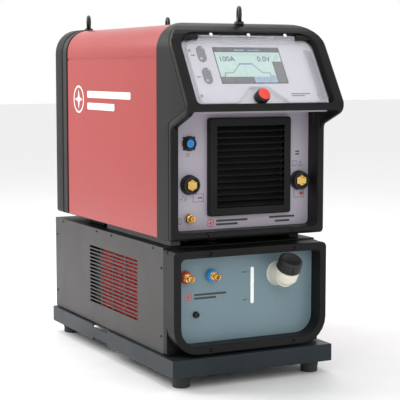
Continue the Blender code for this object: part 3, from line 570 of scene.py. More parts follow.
# The groove on the power bezel and the band on the rear bezel are blackened as painted shade.
refine("power_bezel", "power_bezel_moulding", "charcoal_plastic", shape=rim_groove)
refine("cooler_bezel", "cooler_bezel_moulding", "charcoal_plastic")
refine("rear_bezel", "rear_bezel_moulding", "charcoal_plastic", shape=rear_band)
refine("power_cover", "power_cover_sheet", "red_powder")
refine("base_tray", "tray_pressing", "tray_blue_grey", edge=0.0012)
refine("louvre_grille", "louvre_moulding", "charcoal_plastic", edge=0.0007, segments=2)
for side in ("l", "r"):
    refine(f"cooler_side_{side}", f"cooler_side_sheet_{side}", "warm_grey_paint", edge=0.0005, segments=2)

# %% Sheets and inner parts that keep their solids
for node in ("cooler_rear_panel", "rear_panel"):
    repaint(node, "warm_grey_paint")
# The rear and right front spacers in the gap are black as painted shade.
for node in ("cooler_top", "power_floor", "spacer_rear_l", "spacer_rear_r", "spacer_front_r"):
    repaint(node, "black_sheet")
# The left front spacer is the lighter cover grey as painted light on its lit face.
repaint("spacer_front_l", "cover_grey")
repaint("cooler_front_panel", "blue_grey_panel")
repaint("power_front_panel", "lavender_panel")
repaint("head_panel", "lavender_painted_lit")
repaint("tank", "cream_plastic")
repaint("pump", "bare_aluminium")
repaint("radiator", "bare_aluminium")
for node in ("cooler_fan_frame", "cooler_fan_rotor", "power_fan_frame", "power_fan_rotor"):
    repaint(node, "cap_black")
repaint("filler_seal", "foot_rubber")
repaint("encoder_shaft", "dull_steel")
repaint("level_window", "coolant_white_painted_glow")
repaint("lid_hinge", "clear_edge")

# %% [markdown]
# ## Screws
# Small cap screws hold the bezels and sheets. One is turned on the lathe with a recess in its
# head, and every other is a copy of it. In the bezels they sit deep in dark counterbores.

# %% Screw heads
screw_pattern = turn_on_lathe("screw_pattern", [(0.0026, -0.001), (0.0026, 0.0012), (0.0022, 0.0016),
                                                (0.0012, 0.0016), (0.0011, 0.0004)], sides=14)


def screws(prefix, places, direction, finish_name, grow=1.0, body="root"):
    """Copies the screw to each place, facing one way."""
    for number, at in enumerate(places, 1):
        size = Matrix.Scale(grow, 4)
        copy = duplicate(screw_pattern, f"{prefix}_{number}", facing(direction, at) @ size)
        hand_over(copy, finish_name, body)


bezel_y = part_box("cooler_bezel")[0].y
screws("cooler_bezel_screw", [(x, bezel_y + 0.0035, z) for x in (-0.096, 0.096) for z in (0.0725,
                                                                                          0.2645)],
       FORWARDS, "cap_black")
screws("power_bezel_screw", [(x, POWER_FRONT + 0.0035, 0.299) for x in (-0.097, 0.097)], FORWARDS,
       "cap_black")
side_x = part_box("cooler_side_l")[0].x
side_holes = [(0.306, 0.27), (0.098, 0.27), (0.016, 0.27), (-0.198, 0.27), (-0.238, 0.235),
              (-0.236, 0.097), (0.345, 0.236), (0.346, 0.101)]
screws("left_side_screw", [(side_x - 0.0001, y, z) for y, z in side_holes], (-1, 0, 0), "cap_black", 0.9)
screws("right_side_screw", [(-side_x + 0.0001, y, z) for y, z in side_holes], (1, 0, 0), "cap_black", 0.9)

# %% [markdown]
# ## The leaning head
# The head leans back, and everything on it is easiest to place in the head's own directions:
# across, inwards and up the slope. One matrix carries a finished piece there.

# %% Pieces on the head
PANEL_DEPTH = 0.018


def on_head(piece, finish_name, body="root"):
    """Carries a piece built upright to the leaning head."""
    return hand_over(set_down(piece, HEAD), finish_name, body)


def head_point(x, inset, up):
    return tuple(HEAD @ Vector((x, inset, up)))


screws("head_screw", [head_point(x, PANEL_DEPTH - 0.0008, up) for x in (-0.131, 0.131) for up in (0.027,
                                                                                                  0.129)],
       HEAD_OUT, "dull_steel", 1.15)
PORT_UPS = (0.121, 0.0715)
for name, up in zip(("top", "bottom"), PORT_UPS):
    refine(f"port_cover_{name}", f"port_cover_plate_{name}", "cover_grey", edge=0.0004, segments=2)
    screws(f"port_{name}_screw", [head_point(-0.107 + s * 0.0045, PANEL_DEPTH - 0.003, up + s * 0.012)
                                  for s in (-1, 1)], HEAD_OUT, "bare_aluminium", 1.1)

for up in PORT_UPS:
    on_head(stroke((-0.129, up - 0.002), (-0.1225, up - 0.002), 0.0022, PANEL_DEPTH - 0.00005),
            "print_grey")

# %% [markdown]
# ## The screen
# The screen shows a dark bar on top, a pale field with the set current and the voltage, the
# weld cycle as a line with its current plateau in blue, a grey column on the right and a grey
# row below. Each is a very thin layer on the glass, so the picture stays crisp at any size.

# %% Screen picture
GLASS = PANEL_DEPTH + 0.0003
SCREEN = (-0.077, 0.0562, 0.069, 0.1365)  # left, bottom, right, top
refine("display", "screen_housing", "black_and_painted_shade", edge=0.0006, segments=2)


def screen_x(share):
    return SCREEN[0] + share * (SCREEN[2] - SCREEN[0])


def screen_z(share):
    return SCREEN[1] + share * (SCREEN[3] - SCREEN[1])


def screen_area(name, x0, z0, x1, z1, layer=1):
    """A flat field of the picture, in shares of its width and height."""
    y = GLASS - layer * PRINT
    return block(name, (screen_x(x0), y - PRINT, screen_z(z0)), (screen_x(x1), y, screen_z(z1)), edge=0)


on_head(screen_area("screen_field", 0, 0.17, 0.85, 0.875), "screen_mint")
on_head(screen_area("screen_title_bar", 0, 0.88, 1, 1), "screen_dark")
on_head(screen_area("screen_icon_cell", 0.852, 0.61, 1, 0.875), "screen_mint")
on_head(screen_area("screen_column", 0.852, 0.005, 1, 0.605), "screen_grey")
on_head(screen_area("screen_row", 0, 0.005, 0.5, 0.165), "screen_grey")
on_head(screen_area("screen_wave_cell", 0.503, 0.005, 0.849, 0.165), "screen_pale_blue")

INK = GLASS - 2.2 * PRINT


def screen_line(name, points, width, finish_name, closed=False, layer=0):
    """A line of the picture through points given in shares."""
    real = [(screen_x(x), screen_z(z)) for x, z in points]
    return on_head(outline(name, real, width, INK - layer * PRINT, closed), finish_name)


screen_line("weld_cycle", [(0.045, 0.19), (0.075, 0.19), (0.075, 0.28), (0.2, 0.28), (0.335, 0.53),
                           (0.53, 0.53),
                           (0.655, 0.28), (0.77, 0.28), (0.77, 0.19), (0.825, 0.19)], 0.0013,
                           "screen_ink")
screen_line("weld_current", [(0.335, 0.545), (0.53, 0.545)], 0.0022, "screen_blue", layer=1)
screen_line("weld_current_drop", [(0.4, 0.54), (0.4, 0.19)], 0.0007, "screen_pale_blue", layer=1)
screen_line("screen_rule", [(0.03, 0.8), (0.83, 0.8)], 0.0003, "screen_grey")
wave = [(0.55, 0.05), (0.55, 0.12), (0.6, 0.12), (0.6, 0.05), (0.65, 0.05), (0.65, 0.12), (0.7, 0.12),
        (0.7, 0.05), (0.75, 0.05), (0.75, 0.12), (0.8, 0.12), (0.8, 0.05)]
screen_line("square_wave", wave, 0.0005, "screen_grey")
screen_line("torch_icon", [(0.89, 0.66), (0.92, 0.76), (0.955, 0.8), (0.955, 0.72), (0.92, 0.68),
                           (0.89, 0.66)],
            0.0005, "screen_grey")
screen_line("title_dashes", [(0.32, 0.935), (0.46, 0.935)], 0.002, "screen_pale_blue")
screen_line("title_dashes_2", [(0.52, 0.935), (0.7, 0.935)], 0.0014, "screen_pale_blue")
for name, words, x in (("set_current", "100A", 0.16), ("arc_voltage", "0.0V", 0.73)):
    on_head(lettering(name, words, 0.0165, screen_x(x), screen_z(0.675), INK), "screen_ink")

# %% [markdown]
# ## The clear lid
# The lid is a shallow clear tray that hinges at its top edge and leaves a notch for the knob.
# Its copy gets rounded edges, which is where clear plastic shows itself. On the right the
# deep side wall is ribbed, and three bright buttons sit along the hinge.

# %% Lid, its ribs and its hinge
refine("lid", "clear_lid_moulding", "clear_lid", "lid", edge=0.0005, segments=2)
LID_FRONT = 0.005
for number, x in enumerate((0.1285, 0.1325, 0.1365, 0.1405)):
    rib = block(f"lid_rib_{number + 1}", (x, LID_FRONT + 0.0028, 0.012),
                (x + 0.0012, LID_FRONT + 0.0105, 0.126),
                0.0003)
    on_head(rib, "clear_edge", "lid")
for name, x in (("left", -0.084), ("middle", 0.0), ("right", 0.084)):
    cap = turn_on_lathe(f"hinge_button_{name}", [(0.0036, 0), (0.0036, 0.001), (0.0028, 0.002)], 20)
    set_down(cap, facing(FORWARDS, (x, 0.0004, 0.1555)))
    on_head(cap, "print_white")
for name, x0 in (("left", -0.1445), ("right", 0.1125)):
    wedge = block(f"hinge_block_{name}", (x0, 0.004, 0.1478), (x0 + 0.032, 0.012, 0.159), 0.0008)
    on_head(wedge, "charcoal_plastic")

# %% [markdown]
# ## The control knob
# A push-and-turn knob: a black skirt with fine grooves for the fingers and a domed red cap.
# The skirt is turned with many sides, and every second strip of its wall is pushed in, which
# makes the grooves in one extrusion.


# %% Grooved knob
def grooved(piece, radius, depth, low, high):
    """Pushes every second strip of a turned wall inwards."""
    def every_second(centre, normal):
        spread = math.hypot(centre.x, centre.y)
        if abs(normal.z) > 0.2 or not low < centre.z < high or abs(spread - radius) > radius * 0.03:
            return False
        count = round((math.atan2(centre.y, centre.x) % (2 * math.pi)) / (2 * math.pi) * side_count)
        return count % 2 == 0
    first_z = piece.data.vertices[0].co.z
    side_count = max(3, sum(1 for v in piece.data.vertices if abs(v.co.z - first_z) < 1e-6))
    start_editing(piece, "FACE", every_second)
    bpy.ops.mesh.inset(thickness=0.00015, use_individual=True)
    bpy.ops.transform.resize(value=((radius - depth) / radius,) * 2 + (1,), center_override=(0, 0, 0))
    stop_editing()


KNOB_X, KNOB_UP = -0.006, 0.0185
knob_place = HEAD @ facing(FORWARDS, (KNOB_X, PANEL_DEPTH, KNOB_UP))
skirt = turn_on_lathe("knob_skirt", [(0.0145, 0.004), (0.0145, 0.0045), (0.0145, 0.0158), (0.0136, 0.017),
                                     (0.0131, 0.0172), (0.013, 0.0205), (0.0118, 0.0212)], 64)
grooved(skirt, 0.0145, 0.0004, 0.005, 0.0155)
hand_over(set_down(skirt, knob_place), "cap_black", "encoder_knob")
crown = turn_on_lathe("knob_cap", [(0.0124, 0.02), (0.0124, 0.0212), (0.012, 0.0217), (0.011, 0.02185),
                                   (0.006, 0.02195)], 56)
hand_over(set_down(crown, knob_place), "signal_red", "encoder_knob", smooth=50)
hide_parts("encoder_knob")
print("knob at", head_point(KNOB_X, PANEL_DEPTH, KNOB_UP))

# %% [markdown]
# ## Welding sockets
# A cable plug pushes in and turns. The socket is a black ribbed collar around a brass hexagon
# with a deep bore. The bore is part of the lathe profile: the profile goes up the outside and
# comes back down on the inside.

# %% Sockets, gas outlet and remote socket
PANEL_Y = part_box("louvre_grille")[1].y + 0.0003
for name, x in (("neg", -0.118), ("pos", 0.135)):
    at = facing(FORWARDS, (x, PANEL_Y - 0.0003, 0.399))
    collar = turn_on_lathe(f"socket_collar_{name}",
                           [(0.02, 0), (0.02, 0.003), (0.0194, 0.0036), (0.0184, 0.0042),
                            (0.0184, 0.0136),
                            (0.0176, 0.0152), (0.015, 0.0155), (0.0142, 0.0148), (0.0136, 0.012)], 56)
    grooved(collar, 0.0184, 0.0005, 0.005, 0.013)
    hand_over(set_down(collar, at), "cap_black")
    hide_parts(f"weld_socket_{name}")
    hexagon = turn_on_lathe(f"socket_insert_{name}",
                            [(0.0118, 0.0118), (0.0127, 0.0122), (0.0127, 0.0148), (0.0112, 0.0162)], 6)
    tube = turn_on_lathe(f"socket_tube_{name}", [(0.0098, 0.014), (0.0098, 0.0166), (0.009, 0.0172),
                                                 (0.0074, 0.0172), (0.0066, 0.0164), (0.0062, 0.005)], 40)
    key = block(f"socket_key_{name}", (-0.0012, 0.004, 0.008), (0.0012, 0.0064, 0.0166), 0.0002)
    pin = turn_on_lathe(f"socket_pin_{name}", [(0.003, 0.006), (0.003, 0.0125), (0.0022, 0.0135)], 20)
    brass = join(f"socket_insert_{name}", [hexagon, tube, key, pin])
    hand_over(set_down(brass, at), "polished_brass", smooth=25)
    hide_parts(f"weld_insert_{name}")
    # A black disc at the foot of the bore is painted shade for the deep hole.
    shade = turn_on_lathe(f"socket_bore_painted_shade_{name}", [(0.0061, 0.0052), (0.0061, 0.0058)], 40)
    hand_over(set_down(shade, at), "black_and_painted_shade")

gas_at = facing(FORWARDS, (-0.119, PANEL_Y - 0.0003, 0.332))
gas_nut = turn_on_lathe("gas_nut", [(0.0088, 0), (0.0098, 0.0006), (0.0098, 0.0068), (0.0086, 0.0082)], 6)
gas_stub = turn_on_lathe("gas_stub", [(0.0062, 0.006), (0.0062, 0.0104), (0.0055, 0.011),
                                      (0.0055, 0.0125),
                                      (0.0063, 0.0132), (0.0063, 0.018), (0.0054, 0.0195),
                                      (0.004, 0.0195),
                                      (0.0034, 0.019), (0.0034, 0.01)], 36)
gas_outlet = hand_over(set_down(join("gas_outlet_fitting", [gas_nut, gas_stub]), gas_at),
                       "polished_brass",
                       smooth=25)
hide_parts("gas_outlet")

REMOTE = (-0.118, PANEL_Y - 0.0003, 0.481)
shell = turn_on_lathe("remote_shell", [(0.015, 0), (0.015, 0.0022), (0.0142, 0.003), (0.0124, 0.0032),
                                       (0.012, 0.01), (0.0112, 0.011), (0.0092, 0.011), (0.0088, 0.0102),
                                       (0.0087, 0.004)], 48)
hand_over(set_down(shell, facing(FORWARDS, REMOTE)), "cap_black")
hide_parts("remote_socket")
insert = turn_on_lathe("remote_insert", [(0.0084, 0.002), (0.0084, 0.0074), (0.0078, 0.0082),
                                         (0.0052, 0.0082),
                                         (0.005, 0.0076), (0.003, 0.0076)], 40)
hand_over(set_down(insert, facing(FORWARDS, REMOTE)), "cool_water_blue")
# The five pin holes are black discs on the insert: painted shade standing in for the holes.
hole_pattern = turn_on_lathe("remote_pin_hole", [(0.0008, 0.0076), (0.0008, 0.008)], 12)
holes = [duplicate(hole_pattern, "pin_hole", facing(FORWARDS, REMOTE) @ Matrix.Translation(
    (0.0028 * math.cos(math.radians(72 * k)), 0.0028 * math.sin(math.radians(72 * k)),
     0))) for k in range(5)]
bpy.data.objects.remove(hole_pattern)
hand_over(join("remote_pin_holes", holes), "black_and_painted_shade")
screws("remote_screw", [(REMOTE[0] + i * 0.01075, REMOTE[1] - 0.0002, REMOTE[2] + k * 0.01075)
                        for i in (-1, 1) for k in (-1, 1)], FORWARDS, "cap_black", 1.1)

# %% [markdown]
# ## Water couplings and fuse
# Each coupling is a brass nipple with knurled rings inside a coloured sleeve: red for the warm
# water that returns and blue for the cool water that leaves. The sleeve slides back to let a
# hose go, so it moves with its own body and the nipple stays with the machine.

# %% Couplings and fuse
COOLER_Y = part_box("cooler_front_panel")[0].y
for name, x, colour in (("red", -0.136, "warm_water_red"), ("blue", -0.078, "cool_water_blue")):
    at = facing(FORWARDS, (x, COOLER_Y - 0.0003, 0.2175))
    sleeve = turn_on_lathe(f"water_sleeve_{name}", [(0.0122, 0.0036), (0.0128, 0.0044), (0.0128, 0.006),
                                                    (0.012, 0.0078), (0.0113, 0.012), (0.0106, 0.0126),
                                                    (0.0092, 0.0126), (0.009, 0.011)], 48)
    hand_over(set_down(sleeve, at), colour, f"sleeve_{name}")
    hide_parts(f"coupling_{name}_sleeve")
    nipple = turn_on_lathe(f"water_nipple_{name}",
                           [(0.007, 0), (0.0084, 0.0004), (0.0084, 0.0138), (0.0078, 0.0142),
                            (0.0078, 0.015),
                            (0.0085, 0.0154), (0.0085, 0.0196), (0.0078, 0.0202), (0.0062, 0.0206),
                            (0.0062, 0.0222), (0.0069, 0.0228), (0.0069, 0.0278), (0.0064, 0.0284),
                            (0.0064, 0.031), (0.0056, 0.032), (0.0046, 0.032), (0.0042, 0.0314),
                            (0.004, 0.015)], 48)
    grooved(nipple, 0.0085, 0.0004, 0.0156, 0.0194)
    grooved(nipple, 0.0069, 0.0003, 0.023, 0.0276)
    hand_over(set_down(nipple, at), "polished_brass", smooth=25)
    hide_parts(f"coupling_{name}_body")

fuse_at = facing(FORWARDS, (-0.112, COOLER_Y - 0.0003, 0.14))
holder = turn_on_lathe("fuse_ring", [(0.0066, 0), (0.0066, 0.0016), (0.0062, 0.002), (0.006, 0.002),
                                     (0.0059, 0.0008)], 36)
hand_over(set_down(holder, fuse_at), "cap_black")
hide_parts("fuse_holder")
cap = turn_on_lathe("fuse_knob", [(0.0058, 0.001), (0.0058, 0.0068), (0.0052, 0.0076), (0.0034, 0.0076),
                                  (0.0032, 0.0064)], 36)
grooved(cap, 0.0058, 0.0003, 0.0026, 0.0066)
bar = block("fuse_bar", (-0.0048, -0.0008, 0.006), (0.0048, 0.0008, 0.009), 0.0003)
cap = hand_over(set_down(join("fuse_knob", [cap, bar]), fuse_at), "cap_black", "fuse_cap")
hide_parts("fuse_cap")

# %% [markdown]
# ## Filler neck and cap
# Coolant goes in through a cream elbow. Its stub leaves the panel level and its spout tilts up
# and forwards. The stub and spout are turned, and a ball fills the bend between them. The cap
# is a ribbed black shell with a raised crown, and it turns with its own body.

# %% Elbow and cap
NECK_X, NECK_Z = 0.076, 0.211
SPOUT_RISE = math.radians(60)
TILT = Vector((0, -math.cos(SPOUT_RISE), math.sin(SPOUT_RISE)))
ELBOW = Vector((NECK_X, -0.3025, NECK_Z + 0.005))
stub = turn_on_lathe("neck_stub", [(0.0256, 0), (0.0256, 0.0024), (0.0248, 0.0032), (0.0241, 0.004),
                                   (0.024, 0.008), (0.024, 0.036)], 56)
set_down(stub, facing(FORWARDS, (NECK_X, COOLER_Y - 0.0003, NECK_Z)))
bpy.ops.object.select_all(action="DESELECT")
bpy.ops.mesh.primitive_uv_sphere_add(segments=56, ring_count=28, radius=0.024,
                                     location=ELBOW - TILT * 0.0025)
ball = bpy.context.object
bpy.ops.object.transform_apply(location=True)
spout = turn_on_lathe("neck_spout", [(0.0236, -0.01), (0.024, -0.004), (0.0242, 0.004), (0.0242, 0.0056),
                                     (0.0235, 0.0062), (0.0235, 0.0105), (0.0185, 0.0112),
                                     (0.0185, 0.025),
                                     (0.0172, 0.0265)], 56)
set_down(spout, facing(TILT, ELBOW))
neck = hand_over(join("filler_elbow", [stub, ball, spout]), "cream_plastic", smooth=45)
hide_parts("filler_neck")

cap = turn_on_lathe("cap_shell", [(0.0236, 0.012), (0.025, 0.0126), (0.0252, 0.0136), (0.025, 0.015),
                                  (0.0246, 0.016), (0.0246, 0.031), (0.0238, 0.0336), (0.0218, 0.0352),
                                  (0.015, 0.0352), (0.014, 0.0346), (0.005, 0.0346)], 72)
grooved(cap, 0.0246, 0.0012, 0.0162, 0.0308)
cap = hand_over(set_down(cap, facing(TILT, ELBOW)), "cap_black", "filler_cap")
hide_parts("filler_cap")
print("filler:", neck.name, cap.name)

# %% [markdown]
# ## Lifting eyes and feet
# Each eye is a forged ring on a short collar. The ring is a torus and the collar is turned.
# The feet are rubber buffers with a wider shoe.

# %% Eyes and feet
for name, x, y, turn in (("front", 0.0, -0.236, 68), ("rear_l", -0.103, 0.312, 62),
                         ("rear_r", 0.103, 0.312, 74)):
    seat_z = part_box(f"eye_bolt_{name}")[0].z
    collar = turn_on_lathe(f"eye_collar_{name}", [(0.01, 0), (0.01, 0.0042), (0.0092, 0.0052),
                                                  (0.007, 0.0062), (0.0058, 0.0078)], 36)
    bpy.ops.object.select_all(action="DESELECT")
    bpy.ops.mesh.primitive_torus_add(major_radius=0.014, minor_radius=0.004, major_segments=56,
                                     minor_segments=18, location=(0, 0, 0.019),
                                     rotation=(math.radians(90), 0, 0))
    ring = bpy.context.object
    bpy.ops.object.transform_apply(location=True, rotation=True)
    eye = join(f"lifting_eye_{name}", [collar, ring])
    place = Matrix.Translation((x, y, seat_z)) @ Matrix.Rotation(math.radians(turn), 4, "Z")
    hand_over(set_down(eye, place), "cap_black", smooth=50)
    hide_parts(f"eye_bolt_{name}")

for name in ("fl", "fr", "bl", "br"):
    low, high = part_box(f"foot_{name}")
    middle = (low + high) / 2
    radius, tall = (high.x - low.x) / 2, high.z - low.z
    foot = turn_on_lathe(f"rubber_foot_{name}", [(radius * 0.86, 0), (radius * 0.93, 0.0012),
                                                 (radius * 0.94, tall * 0.45), (radius, tall * 0.62),
                                                 (radius, tall - 0.0012), (radius * 0.96, tall)], 48)
    hand_over(set_down(foot, Matrix.Translation((middle.x, middle.y, low.z))), "foot_rubber")
    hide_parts(f"foot_{name}")

# %% [markdown]
# ## Behind the openings
# Through the louvres one sees only darkness, and through the side slots a red wire guard and
# the dark cooler. A black plate stands behind the louvres and behind each row of slots as
# painted shade for that darkness, and thin rods cross in front of the left one.

# %% Shade plates and wire guard
low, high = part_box("louvre_grille")
# Near-black plates behind the louvres and the side slots are painted shade for the dark inside.
baffle = block("louvre_shade_plate", (low.x + 0.006, PANEL_Y + 0.004, low.z + 0.006),
               (high.x - 0.006, PANEL_Y + 0.006, high.z - 0.006), 0.0003)
hand_over(baffle, "black_and_painted_shade")
for side, sign_x in (("left", -1), ("right", 1)):
    liner = block(f"slot_shade_liner_{side}", (sign_x * 0.1635, -0.13, 0.1), (sign_x * 0.162, 0.15, 0.243),
                  0.0003)
    hand_over(liner, "black_and_painted_shade")
GUARD_X = -0.1695
rods = [block("rod", (GUARD_X - 0.0008, -0.128, z - 0.0008), (GUARD_X + 0.0008, 0.078, z + 0.0008), 0)
        for z in [0.104 + 0.0136 * k for k in range(10)]]
rods += [block("rod", (GUARD_X - 0.0008, y - 0.0008, 0.102), (GUARD_X + 0.0008, y + 0.0008, 0.24), 0)
         for y in [-0.126 + 0.0068 * k for k in range(31)]]
hand_over(join("red_wire_guard", rods), "print_red")
print("baffle from", [round(v, 3) for v in low], "to", [round(v, 3) for v in high])

# %% [markdown]
# ## Printed signs
# The signs are thin ink layers on the panels: boxes with a minus and a plus, level marks
# beside the slot, and small symbols. They are all general signs.

# %% Signs on the front panels
INK_Y = PANEL_Y - 0.00005


def sign(piece, finish_name="print_grey"):
    return hand_over(piece, finish_name)


sign(outline("minus_box", rectangle(-0.109, 0.364, -0.086, 0.38), 0.0009, INK_Y))
sign(stroke((-0.097, 0.372), (-0.0895, 0.372), 0.0024, INK_Y), "print_black").name = "minus_sign"
sign(outline("plus_box", rectangle(0.125, 0.363, 0.148, 0.379), 0.0009, INK_Y))
plus = [stroke((0.1385, 0.371), (0.1465, 0.371), 0.0026, INK_Y),
        stroke((0.1425, 0.367), (0.1425, 0.375), 0.0026, INK_Y)]
sign(join("plus_sign", plus), "print_red")
sign(outline("earth_square", rectangle(0.121, 0.429, 0.13, 0.439), 0.0009, INK_Y))
sign(outline("care_triangle", [(0.135, 0.429), (0.144, 0.429), (0.1395, 0.4385)], 0.0009, INK_Y))
for number, z in enumerate((0.453, 0.4585), 1):
    sign(stroke((0.129, z), (0.1355, z), 0.0028, INK_Y), "print_black").name = f"small_mark_{number}"
sign(outline("torch_sign", [(-0.1385, 0.37), (-0.134, 0.37), (-0.131, 0.378)], 0.0009, INK_Y, False))
sign(outline("arc_sign", [(-0.128, 0.374), (-0.125, 0.37), (-0.128, 0.367)], 0.0009, INK_Y, False))
sign(outline("gas_sign", rectangle(-0.14, 0.321, -0.1355, 0.333), 0.0009, INK_Y))
sign(outline("remote_sign", rectangle(-0.123, 0.456, -0.118, 0.461), 0.0009, INK_Y))
LOW_INK = COOLER_Y - 0.00005
for words, z in (("MAX", 0.218), ("MIN", 0.161)):
    sign(lettering(f"level_{words.lower()}", words, 0.0045, 0.0, z, LOW_INK), "print_black")
    sign(stroke((0.0065, z), (0.0115, z), 0.0005, LOW_INK),
         "print_black").name = f"level_tick_{words.lower()}"

# %% [markdown]
# ## Mark on the flanks
# A plain round mark with a spark and two bars stands on each flank in white ink. It is drawn
# flat in front of us like the other signs and then turned a quarter to lie on the flank.


# %% Ring, spark and bars
def flat_ring(radius, width):
    """A ring of ink: a circle, extruded inwards and thickened."""
    bpy.ops.object.select_all(action="DESELECT")
    bpy.ops.mesh.primitive_circle_add(vertices=64, radius=radius, rotation=(math.radians(90), 0, 0))
    ring = bpy.context.object
    bpy.ops.object.transform_apply(rotation=True)
    start_editing(ring, "EDGE")
    bpy.ops.mesh.extrude_edges_move()
    inner = (radius - width) / radius
    bpy.ops.transform.resize(value=(inner, 1, inner), center_override=(0, 0, 0))
    stop_editing()
    return thicken(ring)


def thicken(piece):
    """Gives flat ink its thickness."""
    skin = piece.modifiers.new("ink", "SOLIDIFY")
    skin.thickness = PRINT
    skin.offset = 0
    choose_only(piece)
    bpy.ops.object.modifier_apply(modifier=skin.name)
    return piece


def spark(radius):
    """A four-pointed star: every second corner of an octagon is pulled in."""
    bpy.ops.object.select_all(action="DESELECT")
    bpy.ops.mesh.primitive_circle_add(vertices=8, radius=radius, fill_type="NGON",
                                      rotation=(math.radians(90), 0, 0))
    star = bpy.context.object
    bpy.ops.object.transform_apply(rotation=True)
    for corner in star.data.vertices:
        if abs(corner.co.x) > radius * 0.2 and abs(corner.co.z) > radius * 0.2:
            corner.co *= 0.3
    return thicken(star)


MARK_Y = {"left": 0.205, "right": -0.115}  # the centre of the ring, always at the reader's left
for side, out in (("left", -1), ("right", 1)):
    parts = [flat_ring(0.031, 0.0042), spark(0.023)]
    for bar_z, bar_end in ((0.012, 0.29), (-0.014, 0.205)):
        parts.append(plate("bar", (0.052, -PRINT / 2, bar_z - 0.0075),
                           (bar_end, PRINT / 2, bar_z + 0.0075),
                           0.003, segments=3))
    mark = join(f"flank_mark_{side}", parts)
    turn = Matrix.Rotation(math.radians(90) * out, 4, "Z")
    set_down(mark, Matrix.Translation((out * 0.1722, MARK_Y[side], 0.56)) @ turn)
    hand_over(mark, "print_white")
print("marks on the flanks, two")

# %% Small marks on the front panels
for name, x, z, y, scale in (("upper", -0.07, 0.32, INK_Y, 0.26),
                             ("lower", -0.128, 0.176, LOW_INK, 0.26)):
    ring = join(f"mark_ring_{name}", [flat_ring(0.031, 0.005), spark(0.023)])
    set_down(ring, Matrix.Translation((x, y - PRINT / 2, z)) @ Matrix.Scale(scale, 4))
    hand_over(ring, "print_red")
    bars = join(f"mark_bars_{name}", [stroke((x + 0.015, z + 0.0036), (x + 0.083, z + 0.0036), 0.0042, y),
                                      stroke((x + 0.015, z - 0.0036), (x + 0.06, z - 0.0036), 0.0042, y)])
    hand_over(bars, "print_black")
on_head(join("mark_bars_head", [stroke((0.07, 0.03), (0.112, 0.03), 0.0022, PANEL_DEPTH - 0.00005),
                                stroke((0.07, 0.0255), (0.098, 0.0255), 0.0022, PANEL_DEPTH - 0.00005)]),
        "print_grey")
sign(join("rating_bars", [stroke((0.068, 0.325), (0.124, 0.325), 0.0042, INK_Y),
                          stroke((0.082, 0.3165), (0.112, 0.3165), 0.0042, INK_Y)]), "print_black")

# %% [markdown]
# ## The rear
# Round wire guards keep fingers out of the two fans. Each is a set of rings with cross bars.
# Beside them are the mains switch, the cable gland, the gas inlet and small blanking plates.

# %% Fan guards
for name, guard_y, guard_z in (("power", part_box("rear_panel")[1].y, 0.4455),
                               ("cooler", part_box("cooler_rear_panel")[1].y, 0.158)):
    wires = []
    for radius in (0.018, 0.03, 0.042, 0.054):
        bpy.ops.object.select_all(action="DESELECT")
        bpy.ops.mesh.primitive_torus_add(major_radius=radius, minor_radius=0.0009, major_segments=48,
                                         minor_segments=8, location=(0, guard_y + 0.0034, guard_z),
                                         rotation=(math.radians(90), 0, 0))
        bpy.ops.object.transform_apply(location=True, rotation=True)
        wires.append(bpy.context.object)
    for turn in (45, 135):
        bar = block("bar", (-0.072, guard_y + 0.0008, -0.001), (0.072, guard_y + 0.0026, 0.001), 0.0004)
        slant = Matrix.Rotation(math.radians(turn), 4, "Y")
        wires.append(set_down(bar, Matrix.Translation((0, 0, guard_z)) @ slant))
    hand_over(join(f"{name}_fan_guard", wires), "dull_steel", smooth=50)
    corners = [(i * 0.0505, guard_y + 0.0026, guard_z + k * 0.0505) for i in (-1, 1) for k in (-1, 1)]
    screws(f"{name}_guard_screw", corners, BACKWARDS, "dull_steel", 1.1)

# %% Switch, gland, inlet and plates
rear_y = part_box("rear_panel")[1].y + 0.0003
refine("mains_switch", "switch_plate", "cap_black", edge=0.0006, segments=2)
refine("mains_knob", "switch_handle", "signal_red", "mains_knob", edge=0.0006, segments=2)
for words, x in (("0", 0.0735), ("1", 0.1065)):
    digit = lettering(f"switch_{words}", words, 0.0075, -x, 0.6255, 0)
    set_down(digit, Matrix.Translation((0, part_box("mains_switch")[1].y + 0.00005, 0))
             @ Matrix.Rotation(math.radians(180), 4, "Z"))
    hand_over(digit, "print_white")

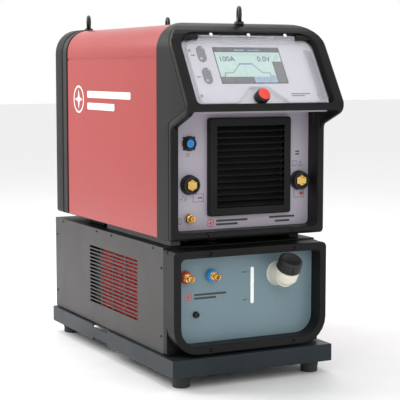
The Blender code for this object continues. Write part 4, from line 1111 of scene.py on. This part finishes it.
gland_at = facing(BACKWARDS, (-0.1, rear_y, 0.35))
nut = turn_on_lathe("gland_nut", [(0.0155, 0), (0.0165, 0.0006), (0.0165, 0.005), (0.0155, 0.0058)], 6)
dome = turn_on_lathe("gland_dome", [(0.0142, 0.005), (0.0142, 0.012), (0.0134, 0.0145), (0.0118, 0.0168),
                                    (0.01, 0.018), (0.0086, 0.018), (0.008, 0.0172), (0.008, 0.01)], 40)
grooved(dome, 0.0142, 0.0004, 0.006, 0.0118)
gland = hand_over(set_down(join("mains_gland", [nut, dome]), gland_at), "cap_black", smooth=25)
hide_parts("cable_gland")
inlet_nut = turn_on_lathe("inlet_nut", [(0.0088, 0), (0.0098, 0.0006), (0.0098, 0.0064),
                                        (0.0086, 0.0078)], 6)
inlet_stub = turn_on_lathe("inlet_stub", [(0.006, 0.006), (0.006, 0.01), (0.0052, 0.0106),
                                          (0.0052, 0.012),
                                          (0.006, 0.0126), (0.006, 0.0168), (0.0052, 0.018),
                                          (0.0038, 0.018),
                                          (0.0032, 0.0174), (0.0032, 0.01)], 36)
inlet = hand_over(set_down(join("gas_inlet_fitting", [inlet_nut, inlet_stub]),
                           facing(BACKWARDS, (0.11, rear_y, 0.345))), "polished_brass", smooth=25)
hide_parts("gas_inlet")
for number, z in enumerate((0.64, 0.59, 0.54), 1):
    blank = block(f"blank_plate_{number}", (-0.118, rear_y, z - 0.016),
                  (-0.052, rear_y + 0.0015, z + 0.016), 0.0005)
    hand_over(blank, "black_sheet")
    screws(f"blank_{number}_screw", [(x, rear_y + 0.0015, z) for x in (-0.113, -0.057)], BACKWARDS,
           "dull_steel", 0.8)
screws("rear_panel_screw", [(x, rear_y, z) for x in (-0.146, 0.146) for z in (0.325, 0.5, 0.655)],
       BACKWARDS,
       "dull_steel", 1.0)
screws("cooler_rear_screw", [(x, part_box("cooler_rear_panel")[1].y, z) for x in (-0.16, 0.16)
                             for z in (0.08, 0.25)], BACKWARDS, "cap_black", 1.0)

# %% [markdown]
# ## Floor
# A plain pale floor catches the soft shadow. It isn't part of the machine.

# %% Floor
bpy.ops.object.select_all(action="DESELECT")
bpy.ops.mesh.primitive_plane_add(size=40, location=(0, 0, 0))
floor = bpy.context.object
floor.name = "floor"
finish("studio_floor", "print_white", (0.83, 0.83, 0.83), (0.85, 0.85, 0.85), (0.5, 0.6), strength=0.0)
floor.data.materials.append(FINISH["studio_floor"])
bpy.data.objects.remove(screw_pattern)
